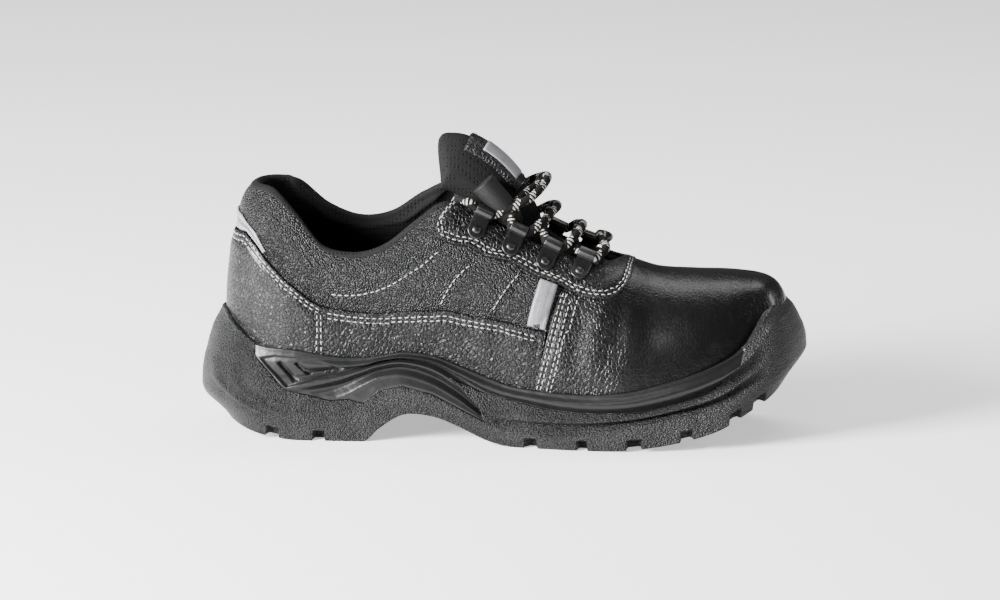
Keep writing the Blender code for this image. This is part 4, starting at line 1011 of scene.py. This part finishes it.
def reflective_film():
    """Pale lilac-grey film of glass beads on cloth."""
    f = Finish("reflective_film", specular_ior_level=0.6)
    where = f.place()
    weave = f.cells(where, 0.55 * MM, "F1")
    dirt = f.noise(where, 5 * MM, 4.0, 0.65)
    colour = f.blend(dirt.above(0.45, 0.75) * 0.6, (0.185, 0.182, 0.199), (0.105, 0.103, 0.115))
    f.drive(Base_Color=colour, Roughness=0.36 + dirt * 0.2)
    f.relief((f.noise(where, 3 * MM, 2.0), 0.25 * MM), (weave, 0.08 * MM))
    return f


hide_finish = pebbled_hide()
film_finish = reflective_film()

lateral_top = locate(COUNTER_TOP, -1)
medial_top = locate(COUNTER_TOP, 1) - (UPPER_TURNS, 0)
counter_top = np.concatenate([medial_top[::-1], [[0.0, level(0.0, 0.816)]], lateral_top])
edge_foot = {side: locate([COUNTER_FOOT], side)[0, 0] for side in (-1, 1)}
counter_foot = [(edge_foot[1] - UPPER_TURNS, 0.0), (-3.0, 0.0), (0.0, 0.0), (3.0, 0.0), (edge_foot[-1], 0.0)]
counter_field = patch(counter_foot, counter_top, None, None, steps(190 * MM, coarse=1.6 * MM), steps(52 * MM, "b"))
heel_counter = hide_piece(
    "heel_counter_hide", counter_field, COUNTER_LIFT, "upper left right",
    {"upper": (2.0, 4.1), "left": (1.7, 3.8), "right": (1.7, 3.8)},
)
dress(heel_counter, hide_finish, "leather", "heel_counter")

for side, word in ((-1, "lateral"), (1, "medial")):
    top = locate(QUARTER_TOP, side)
    foot = [(top[0, 0], 0.0), (locate([(0.566, 0.22)], side)[0, 0], 0.0)]
    field = patch(foot, top, None, None, steps(118 * MM, coarse=1.6 * MM), steps(30 * MM, "b", 1.6 * MM))
    if side > 0:
        field = field[::-1]
    quarter = hide_piece(
        f"quarter_{word}_hide", field, QUARTER_LIFT, "upper left right", {"upper": (3.2, 5.3)},
    )
    dress(quarter, hide_finish, "leather", f"quarter_{word}")

# The vamp's field: straight rows from the foot to the ridge, bent towards its edge lines at both ends
toe = UPPER_TURNS / 2
ridge_start = RIDGE_ROW + 0.02
vamp_end = {}
for side, ridge_at in ((-1, ridge_start), (1, UPPER_TURNS - ridge_start)):
    line = locate(VAMP_EDGE, side)
    vamp_end[side] = np.concatenate([[[line[0, 0], 0.0]], line, [[ridge_at, 1.0]]])
turn = steps(330 * MM, coarse=1.7 * MM)
low = np.interp(turn, [0, 0.5, 1], [vamp_end[-1][0, 0], toe, vamp_end[1][0, 0]])
high = np.interp(turn, [0, 0.5, 1], [ridge_start, toe, UPPER_TURNS - ridge_start])
rises = np.linspace(0, 1, 64)
base_line = (1 - rises) * low[:, None] + rises * high[:, None]
straight = np.stack([base_line, np.broadcast_to(rises, base_line.shape)], axis=-1)
vamp_field = straight
for side, end, near in ((-1, 0, 1 - turn), (1, -1, turn)):
    vamp_field = vamp_field + (spread(vamp_end[side], rises) - straight[end])[None] * near[:, None, None] ** 3
VAMP_ROWS = (1.7, 3.7, 7.3, 9.3)
vamp = hide_piece("vamp_hide", vamp_field, VAMP_LIFT, "left right", {"left": VAMP_ROWS, "right": VAMP_ROWS})
dress(vamp, hide_finish, "leather", "vamp")

# The eyestay runs from one side's collar end round the tab in front of the throat to the other side
tab = RIDGE_ROW + 0.30
for side, word in ((-1, "lateral"), (1, "medial")):
    front = tab if side < 0 else UPPER_TURNS - tab
    throat_end = RIDGE_ROW - 0.02 if side < 0 else UPPER_TURNS - RIDGE_ROW + 0.02
    edge = locate(EYESTAY_EDGE, side)
    lower = np.concatenate([edge, [[front, 1.0]]])
    upper = [(edge[0, 0] - 0.02 * side, 1.0), (throat_end, 1.0), (front, 1.0)]
    field = patch(
        lower, upper, None, [(front, 0.9999), (front, 1.0)],
        steps(128 * MM, "a", 1.2 * MM), steps(26 * MM, "ab", 1.4 * MM),
    )
    if side > 0:
        field = field[::-1]
    free = "lower upper " + ("left" if side < 0 else "right")
    stay = hide_piece(f"eyestay_{word}_hide", field, EYESTAY_LIFT, free, {"lower": (2.6, 4.7)})
    dress(stay, hide_finish, "leather", "eyestay")

for side, word in ((-1, "lateral"), (1, "medial")):
    low, high = (locate(line, side) for line in SIDE_STRIP)
    field = patch(low, high, None, None, steps(9.5 * MM, "", 0.8 * MM), steps(24 * MM, "", 1.0 * MM))
    if side > 0:
        field = field[::-1]
    strip = hide_piece(f"side_strip_{word}_film", field, SIDE_STRIP_LIFT, swell=0.0)
    dress(strip, film_finish, "reflective", f"side_strip_{word}")

low, high = (
    np.concatenate([locate(line, 1)[::-1] - (UPPER_TURNS, 0), [[0.0, level(0.0, share)]], locate(line, -1)])
    for line, share in zip(HEEL_STRIP, (0.820, 0.905))
)
field = patch(low, high, None, None, steps(95 * MM, coarse=1.5 * MM), steps(10 * MM, "", 0.9 * MM))
heel_strip = hide_piece("heel_strip_film", field, HEEL_STRIP_LIFT, swell=0.0)
dress(heel_strip, film_finish, "reflective", "heel_strip")

# Thread: pale grey waxed thread in short lock stitches, two to four rows beside every seam, each stitch a
# little capsule that sinks into the hide at both ends.
STITCH_PITCH = 3.2 * MM
STITCH_LENGTH = 2.5 * MM
THREAD_RADIUS = 0.26 * MM


def stitch_places(line, normal, pitch=STITCH_PITCH):
    """Middles, directions and normals at even steps along a seam."""
    length = arc_lengths(line)
    middles = np.arange(pitch * 0.7, length[-1] - pitch * 0.5, pitch)
    ahead = read_along(middles + pitch * 0.4, length, line) - read_along(middles - pitch * 0.4, length, line)
    ahead /= np.linalg.norm(ahead, axis=1)[:, None]
    return read_along(middles, length, line), ahead, read_along(middles, length, normal)


def stitches(name, seams, lift=0.10 * MM, radius=THREAD_RADIUS, length=STITCH_LENGTH, pitch=STITCH_PITCH):
    """Capsules along seams: a circle whose radius swells and whose centre dips at both ends."""
    parts = [stitch_places(line, normal, pitch) for line, normal in seams]
    middle, ahead, out = (np.concatenate([part[k] for part in parts]) for k in range(3))
    side = np.cross(out, ahead)
    side /= np.linalg.norm(side, axis=1)[:, None]
    out = np.cross(ahead, side)
    rng = np.random.default_rng(7)
    ahead = ahead + side * rng.normal(0, 0.05, (len(ahead), 1))
    rings, sides = 7, 8
    t = np.linspace(-1, 1, rings)
    turn = np.linspace(0, 2 * np.pi, sides, endpoint=False)
    swell = np.sqrt(np.clip(1 - np.abs(t) ** 3.0, 0, 1)) * radius
    swell[[0, -1]] = 0.05 * radius
    dip = lift - 0.40 * MM * np.abs(t) ** 3
    points = (
        middle[:, None, None] + ahead[:, None, None] * (t * length / 2)[None, :, None, None]
        + side[:, None, None] * (swell[:, None] * np.cos(turn))[None, :, :, None]
        + out[:, None, None] * (dip[:, None] + swell[:, None] * np.sin(turn))[None, :, :, None]
    )
    count = len(middle)
    ids = np.arange(count * rings * sides).reshape(count, rings, sides)
    beside = np.roll(ids, -1, axis=2)
    quads = np.stack([ids[:, :-1], beside[:, :-1], beside[:, 1:], ids[:, 1:]], axis=-1).reshape(-1, 4)
    caps = np.concatenate([ids[:, 0, ::-1], ids[:, -1]]).tolist()
    mesh = bpy.data.meshes.new(name)
    mesh.from_pydata(points.reshape(-1, 3).tolist(), [], quads.tolist() + caps)
    mesh.polygons.foreach_set("use_smooth", np.ones(len(mesh.polygons), bool))
    return add_object(name, mesh)


def side_seam(points, side, lift):
    """A seam over the padded upper through side-view points."""
    line = spread(locate(points, side), 120, 3 * MM)
    return on_last(line[:, 0], line[:, 1], np.full(len(line), lift)), rib_normal(line[:, 0], line[:, 1])


def waxed_thread():
    """Pale grey thread, soiled in patches, its surface finely bumped."""
    f = Finish("waxed_thread", roughness=0.62, specular_ior_level=0.35)
    where = f.place()
    soil = f.noise(where, 7 * MM, 4.0, 0.65).above(0.42, 0.78)
    f.drive(Base_Color=f.blend(soil * 0.80, (0.36, 0.36, 0.345), (0.12, 0.12, 0.118)))
    f.relief((f.noise(where, 0.4 * MM, 2.0), 0.12 * MM))
    return f


thread_finish = waxed_thread()
# Rows are left out where another piece covers them
hide_seams = []
for name, label, line, normal in STITCHED:
    x, z = line[:, 0], line[:, 2]
    keep = np.ones(len(line), bool)
    if name.startswith("quarter"):
        keep = (x > along_at(COUNTER_FOOT[0])) & (x < along_at(0.566))
    if name.startswith("vamp"):
        front_edge = side_view(EYESTAY_EDGE[11:]).T
        keep = (z < np.interp(x, *front_edge) + 1 * MM) & (z > 24 * MM)
    if name.startswith("heel_counter") and label != "upper":
        keep = z < 0.54 * COLLAR_HEIGHT
    hide_seams.append((line[keep], normal[keep]))
COLLAR_ROW = [(0.222, 0.600), (0.275, 0.600), (0.328, 0.648), (0.374, 0.722), (0.408, 0.790)]
PAD_ROWS = ([(0.404, 0.560), (0.424, 0.655), (0.462, 0.742)], [(0.490, 0.545), (0.511, 0.629), (0.532, 0.690)])
pad_seams = [side_seam(row, side, 0.0) for side in (-1, 1) for row in (COLLAR_ROW, *PAD_ROWS)]
thread = stitches("seam_thread", hide_seams)
dress(thread, thread_finish, "leather")
pad_thread = stitches("pad_thread", pad_seams, lift=0.22 * MM)
dress(pad_thread, thread_finish, "leather")

# Tongue: a thick padded flap of mesh cloth, arched round the ankle, with a hide patch on top that carries a
# plain reflective label, and the gusset folded into a roll beside it.
TONGUE = table(
    "along height half arch back padding",
    [
        (0.682, 0.575, 0.113, 0.047, 20, 0.028),
        (0.646, 0.600, 0.151, 0.075, 22, 0.034),
        (0.606, 0.638, 0.170, 0.105, 28, 0.042),
        (0.570, 0.690, 0.176, 0.126, 36, 0.052),
        (0.554, 0.765, 0.158, 0.151, 50, 0.066),
        (0.529, 0.855, 0.156, 0.175, 50, 0.076),
        (0.490, 0.935, 0.170, 0.190, 45, 0.080),
        (0.440, 0.990, 0.180, 0.200, 25, 0.075),
        (0.395, 1.000, 0.176, 0.200, 8, 0.060),
    ],
)
TONGUE_HALF_TURN = math.radians(68)
TONGUE_RISE = 2.2 * MM     # its padded top stands this much over the plain solid


def along_rows(values, row):
    """A column of the tongue's table read between its rows on a Catmull-Rom curve."""
    values = np.concatenate([[2 * values[0] - values[1]], values, [2 * values[-1] - values[-2]]])
    i = np.clip(np.floor(row).astype(int), 0, len(values) - 4)
    return catmull(*(values[i + n] for n in range(4)), row - i)


def tongue_point(row, turn, depth):
    """A point of the arched tongue at a depth into its padding: 0 on its face, 1 against the foot."""
    x = along_at(along_rows(TONGUE["along"], row))
    z = along_rows(TONGUE["height"], row) * TONGUE_HEIGHT + TONGUE_RISE * smooth_step(row, 4.6, 7.4)
    half, arch, padding = (along_rows(TONGUE[name], row) * BALL_WIDTH for name in ("half", "arch", "padding"))
    back = np.radians(along_rows(TONGUE["back"], row))
    inner = 1 - depth * padding / (half + padding)
    side = half * inner * np.sin(turn) / math.sin(TONGUE_HALF_TURN)
    fall = arch * (1 - np.cos(turn)) / (1 - math.cos(TONGUE_HALF_TURN)) + depth * padding
    return np.stack([x - fall * np.sin(back), AXIS_Y + side, z - fall * np.cos(back)], axis=-1)


def tongue_sheet(rows, turns, depth):
    """Rows by turns on the tongue, the top corners cut back in a round."""
    row, turn = np.meshgrid(rows, turns, indexing="ij")
    corner = 0.85 * np.abs(turn / TONGUE_HALF_TURN) ** 3.0
    row = row - corner * smooth_step(row, 6.6, 8.0)
    return tongue_point(row, turn, depth)


def pillow(name, rows, turns, outer, inner, puff, edge):
    """A padded slab between two depths, its borders rounded: both faces meet half way on every border."""
    face = tongue_sheet(rows, turns, outer)
    back = tongue_sheet(rows, turns, inner)
    off = np.min(list(border_distances(face).values()), axis=0)
    share = round_edge(off, edge)[..., None]
    middle, half = (face + back) / 2, (face - back) / 2
    swell = 1 + puff * (1 - np.exp(-((off / (3 * edge)) ** 2)))[..., None]
    return two_faced(name, middle - half * share, middle + half * share * swell)


tongue_rows = np.linspace(0, 8.0, 100)
tongue_turns = np.linspace(-TONGUE_HALF_TURN, TONGUE_HALF_TURN, 61)
tongue = pillow("padded_tongue", tongue_rows, tongue_turns, 0.0, 1.0, 0.10, 4.5 * MM)
knit_finish = mesh_lining()
dress(tongue, knit_finish, "lining", "tongue")


PADDING = 7.4 * MM         # the tongue's thickness under the patch
PATCH_TOP = 2.2 * MM
LABEL_FOOT, LABEL_TOP = 1.9 * MM, 2.55 * MM


def lifted(low, high):
    """Depths, as shares of the padding, for a sheet this far over the tongue's face."""
    return -high / PADDING, -low / PADDING


patch_rows, patch_turns = np.linspace(4.9, 6.93, 50), np.radians(np.linspace(-35, 35, 44))
tongue_patch = pillow("tongue_patch_hide", patch_rows, patch_turns, *lifted(0.0, PATCH_TOP), 0.0, 1.2 * MM)
dress(tongue_patch, hide_finish, "leather", "tongue_patch")
label_rows, label_turns = np.linspace(5.16, 6.42, 30), np.radians(np.linspace(-25, 27, 30))
label = pillow("plain_label", label_rows, label_turns, *lifted(LABEL_FOOT, LABEL_TOP), 0.0, 0.7 * MM)
dress(label, film_finish, "reflective")


def tongue_seam(start, end, depth):
    """A straight seam on the tongue between two (row, degrees) points."""
    row, degrees = np.linspace(start, end, 80).T
    turn = np.radians(degrees)
    face, below = tongue_point(row, turn, depth), tongue_point(row, turn, depth + 0.3)
    out = face - below
    return face, out / np.linalg.norm(out, axis=1)[:, None]


patch_corners = [(5.06, -31), (6.78, -31), (6.78, 31), (5.06, 31)]
patch_seams = [
    tongue_seam(start, end, -PATCH_TOP / PADDING)
    for start, end in zip(patch_corners, patch_corners[1:] + patch_corners[:1])
]
patch_thread = stitches("patch_thread", patch_seams, length=1.9 * MM, pitch=2.3 * MM)
dress(patch_thread, hide_finish, "leather")


def tube(name, path, radii, around_count=20, relief=None, cap=None):
    """A round profile carried along a path without twist, its ends closed over an edge of radius cap."""
    path = np.asarray(path, float)
    ahead = np.gradient(path, axis=0)
    ahead /= np.linalg.norm(ahead, axis=1)[:, None]
    side = np.empty_like(path)
    seed = np.cross(ahead[0], (0.0, 0.0, 1.0))
    if np.linalg.norm(seed) < 0.1:
        seed = np.cross(ahead[0], (0.0, 1.0, 0.0))
    side[0] = seed / np.linalg.norm(seed)
    for k in range(1, len(path)):
        here = side[k - 1] - ahead[k] * (side[k - 1] @ ahead[k])
        side[k] = here / np.linalg.norm(here)
    up = np.cross(ahead, side)
    radii = np.broadcast_to(radii, len(path)).astype(float)
    length = arc_lengths(path)
    turn = np.linspace(0, 2 * np.pi, around_count, endpoint=False)
    cap = radii if cap is None else cap
    off = np.minimum(length, length[-1] - length)
    radii = np.pad(radii - cap * (1 - round_edge(off, cap)), 1)
    length = np.pad(length, 1, mode="edge")
    path, side, up = (np.pad(v, ((1, 1), (0, 0)), mode="edge") for v in (path, side, up))
    radius = radii[:, None] * (np.ones_like(turn)[None] if relief is None else relief(length[:, None], turn[None]))
    points = (
        path[:, None] + side[:, None] * (radius * np.cos(turn))[..., None]
        + up[:, None] * (radius * np.sin(turn))[..., None]
    )
    values = {"length": length[:, None], "turn_sin": np.sin(turn), "turn_cos": np.cos(turn)}
    fields = {label: np.broadcast_to(value, radius.shape).T for label, value in values.items()}
    return grid_piece(name, points.transpose(1, 0, 2), wrap_across=True, weld=1e-6, fields=fields)


def through(points, count):
    """A Catmull-Rom curve through points, evenly spaced."""
    points = np.asarray(points, float)
    at = np.linspace(0, len(points) - 1.0001, 40 * len(points))
    fine = np.stack([along_rows(column, at) for column in points.T], axis=1)
    length = arc_lengths(fine)
    return read_along(np.linspace(0, length[-1], count), length, fine)


GUSSET_RADIUS = 6.4 * MM
GUSSET_PATH = np.array([
    (-9.0, -20.0, 128.0), (-5.0, -20.0, 123.5), (-0.5, -19.0, 118.0), (3.0, -16.0, 112.5), (4.5, -11.0, 107.0),
]) * MM
gusset = tube("gusset_roll", through(GUSSET_PATH, 80), GUSSET_RADIUS, 44, cap=0.9 * MM)
gusset_finish = Finish("gusset_cloth", specular_ior_level=0.2, base_color=(0.006, 0.006, 0.0063, 1.0))
gusset_weave = gusset_finish.noise(gusset_finish.place(), 0.8 * MM, 3.0, 0.6)
gusset_finish.drive(Roughness=0.50 + gusset_weave * 0.2).relief((gusset_weave, 0.25 * MM))
dress(gusset, gusset_finish, "soft_synthetic")

# Lace hooks: riveted black-painted steel plates with a rounded foot, rolled over at the throat's edge into
# a ribbed tube that the lace runs through.
HOOK_STATIONS = (0.459, 0.515, 0.571, 0.628)
HOOK_WIDTH = 8.6 * MM
HOOK_PLATE = 1.0 * MM
HOOK_FOOT = 4.8 * MM
HOOK_LEAN = 0.33
HOOK_BELOW_HEAD = 9.5 * MM
TUBE_RADIUS = 2.9 * MM
TUBE_BORE = 2.3 * MM
TUBE_RIB = 0.14 * MM
RIVET_RADIUS = 2.3 * MM
HOOK_SEAT = 2.5 * MM


def hook_frame(station, side):
    """Rivet point on the eyestay, with the directions along the throat, up to its edge and outwards."""
    x = (station - 0.5) * SHOE_LENGTH
    cols = np.linspace(8, RIDGE_ROW, 400)
    col = float(np.interp(x, rib(cols, np.ones(400))[:, 0], cols))
    col = col if side < 0 else UPPER_TURNS - col
    rises = np.linspace(0.5, 1.0, 101)
    line = rib(np.full(101, col), rises)
    below = np.cumsum(np.linalg.norm(np.diff(line, axis=0), axis=1)[::-1])[::-1]
    rise = float(np.interp(-HOOK_BELOW_HEAD, -below, rises[:-1]))
    here = rib(col, rise)
    forward = rib(col - side * 0.2, rise) - here
    up = rib(col, rise + 0.03) - here
    forward /= np.linalg.norm(forward)
    up = up / np.linalg.norm(up) + HOOK_LEAN * forward
    up /= np.linalg.norm(up)
    out = -side * np.cross(forward, up)
    out /= np.linalg.norm(out)
    forward = -side * np.cross(up, out)
    return here + out * HOOK_SEAT, forward, up, out


# Rings of the plate: share of its outline, height; of the rivet: share of its radius, height. Heights are
# shares of the plate's thickness.
PLATE_RINGS = ((0, 1.0), (0.5, 1.0), (0.86, 1.0), (0.95, 0.93), (1.0, 0.65), (1.0, 0.15), (0.9, 0.0), (0, 0.0))
RIVET_RINGS = ((1.02, 0.2), (1.0, 0.75), (0.93, 1.15), (0.78, 1.55), (0.5, 1.85), (0.2, 1.97), (0, 2.0))


def hook_shapes():
    """Three grids in the hook's own axes (along, up, out): plate, rivet dome and ribbed tube."""
    turn = np.linspace(0, 2 * np.pi, 48, endpoint=False)
    cx, cy = np.cos(turn), np.sin(turn)
    middle = HOOK_FOOT + HOOK_BELOW_HEAD

    def rings(rows):
        return np.stack([np.stack(np.broadcast_arrays(*row, cx)[:3], axis=-1) for row in rows], axis=1)

    # Plate: from the middle of its face over a soft edge to its back, in a U with a flat top
    half, top = HOOK_WIDTH / 2, middle - TUBE_RADIUS * 0.2
    power = np.where(cy < 0, 2.0, 9.0)
    scale = (np.abs(cx) ** power + np.abs(cy) ** power) ** (-1 / power)
    px, py = cx * scale * half, cy * scale * np.where(cy < 0, half, top - half)
    plate = rings([(px * share, half + py * share, height * HOOK_PLATE) for share, height in PLATE_RINGS])
    # Rivet: a low dome over the plate
    rivet = rings([
        (RIVET_RADIUS * share * cx, HOOK_FOOT + RIVET_RADIUS * share * cy, HOOK_PLATE * height)
        for share, height in RIVET_RINGS
    ])
    # Tube: outer wall with shallow ribs along it, turned in at both mouths to the bore
    radius = TUBE_RADIUS + TUBE_RIB * np.cos(11 * turn)
    rim, shoulder = (radius + TUBE_BORE) / 2, radius - 0.06 * MM
    profile = (
        (-0.96, TUBE_BORE), (-1.0, rim), (-0.96, shoulder), (-0.9, radius), (0, radius), (0.9, radius),
        (0.96, shoulder), (1.0, rim), (0.96, TUBE_BORE), (0, TUBE_BORE), (-0.96, TUBE_BORE),
    )
    roll = rings([(x * half, middle + r * cy, TUBE_RADIUS + r * cx) for x, r in profile])
    return plate, rivet, roll


def painted_steel():
    """Black-painted steel, worn a little in small patches, with small dents."""
    f = Finish("painted_steel", metallic=0.0, specular_ior_level=0.45, coat_weight=0.2, coat_roughness=0.12)
    where = f.place()
    wear = f.noise(where, 1.6 * MM, 4.0, 0.6).above(0.60, 0.74)
    f.drive(
        Base_Color=f.blend(wear * 0.4, (0.004, 0.004, 0.0042), (0.07, 0.07, 0.072)),
        Roughness=0.26 + f.noise(where, 4 * MM, 3.0) * 0.22,
    )
    f.relief((f.noise(where, 1.8 * MM, 3.0), 0.12 * MM))
    return f


steel_finish = painted_steel()
tubes = {}
for side, word in ((-1, "lateral"), (1, "medial")):
    for number, station in enumerate(HOOK_STATIONS, start=1):
        seat, forward, up, out = hook_frame(station, side)
        foot = seat - up * HOOK_FOOT
        place = np.stack([forward, up, out])
        if side > 0:
            place[0] = -place[0]
        shapes = [foot + shape @ place for shape in hook_shapes()]
        grids = [grid_piece("hook_piece", shape, wrap_across=True, weld=3e-6) for shape in shapes]
        hook = grids[0]
        hook.name = f"hook_{word}_{number}"
        with bpy.context.temp_override(active_object=hook, selected_editable_objects=grids, object=hook):
            bpy.ops.object.join()
        work = bmesh.new()
        work.from_mesh(hook.data)
        bmesh.ops.recalc_face_normals(work, faces=work.faces)
        work.to_mesh(hook.data)
        work.free()
        dress(hook, steel_finish, "hook_metal", f"lace_hook_{word}_{number}")
        axis = foot + up * (HOOK_FOOT + HOOK_BELOW_HEAD) + out * TUBE_RADIUS
        tubes[side, number] = (axis, forward)

# Lace: one round braided cord, black with pairs of pale flecks, that runs through all eight tubes. Both ends
# are tucked down beside the tongue at the top hooks.
LACE_RADIUS = 2.1 * MM
# Slack of each crossing, in millimetres: at the lower hook, at the upper hook, in the middle
SLACK = {
    1: ((0, 0, 7), (12, 0, 4), (18, 0, 14)), 2: ((-2, 0, 5), (5, 0, 3), (6, 0, 7)),
    3: ((-2, 0, 4), (4, 0, 3), (2, 0, 5)),
}
OVER = (3.2, 0, 3.4)       # the strand that crosses on top lies this much further out
# Each tucked end from the top hook's mouth, in millimetres: back, towards the middle, up
TUCK = ((-4.0, 0.0, 3.0), (-9.5, 3.0, 3.5), (-12.5, 8.5, -3.0), (-12.0, 10.0, -14.0))


def lace_path():
    """Points of the whole lace: tucked end, hook by hook to the front bar, and back up the other way."""
    def mouth(side, number, way):
        axis, forward = tubes[side, number]
        return axis + forward * way * HOOK_WIDTH / 2

    def hop(a, b, low, high, middle):
        """Three points of a slack loop between two mouths."""
        mid = (a + b) / 2 + np.array(middle) * MM
        return [a * 0.72 + mid * 0.28 + np.array(low) * MM, mid, b * 0.72 + mid * 0.28 + np.array(high) * MM]

    halves = []
    for side, over in ((-1, 0.0), (1, 1.0)):
        half = [mouth(side, 4, 1), tubes[side, 4][0], mouth(side, 4, -1)]
        for number in (3, 2, 1):
            side = -side
            low, high, middle = SLACK[number]
            b = mouth(side, number, 1)
            half += hop(half[-1], b, low, high, np.array(middle) + over * np.array(OVER))
            half += [b, tubes[side, number][0], mouth(side, number, -1)]
        inward = -np.sign(tubes[side, 1][0][1] - AXIS_Y)
        half += [half[-1] + np.array((back, inward * across, up)) * MM for back, across, up in TUCK]
        halves.append(np.array(half))
    a, b = halves[0][0], halves[1][0]
    rise = np.array((5, 0, 3.5)) * MM
    bar = [a * 0.82 + b * 0.18 + rise, (a + b) / 2 + np.array((1, 0, 7.5)) * MM, a * 0.18 + b * 0.82 + rise]
    return np.concatenate([halves[0][::-1], bar, halves[1]])


def braid(length, turn):
    """Sixteen strands over and under: two crossing spirals of low ridges."""
    wave = length / (1.25 * MM) * 2 * np.pi / 2
    return 1 + 0.055 * np.cos(4 * turn + wave) * np.cos(4 * turn - wave)


def braided_cord():
    """Black braid with pairs of pale strands that surface in short flecks."""
    f = Finish("braided_cord", specular_ior_level=0.12)
    where = f.place()
    along = f.field("length")
    sin_turn, cos_turn = f.field("turn_sin"), f.field("turn_cos")
    turn = along * (2 * math.pi / (9.0 * MM))
    spiral = sin_turn * turn.wave("COSINE") + cos_turn * turn.wave()
    pair = (along * (2 * math.pi / (1.7 * MM)) + sin_turn * 2.2).wave()
    loose = f.noise(where, 0.9 * MM, 3.0, 0.7)
    flecks = spiral.above(0.15, 0.40) * pair.above(-0.10, 0.40) * loose.above(0.34, 0.50)
    colour = f.blend(flecks, (0.0036, 0.0033, 0.0033), (0.40, 0.37, 0.34))
    f.drive(Base_Color=colour, Roughness=0.72 + loose * 0.15)
    f.relief((loose, 0.25 * MM))
    return f


path = through(lace_path(), 1500)
lace = tube("braided_lace", path, LACE_RADIUS, 16, braid)
cord_finish = braided_cord()
dress(lace, cord_finish, "lace_cord", "lace_front_bar", "lace_crossing_1", "lace_crossing_2", "lace_crossing_3")
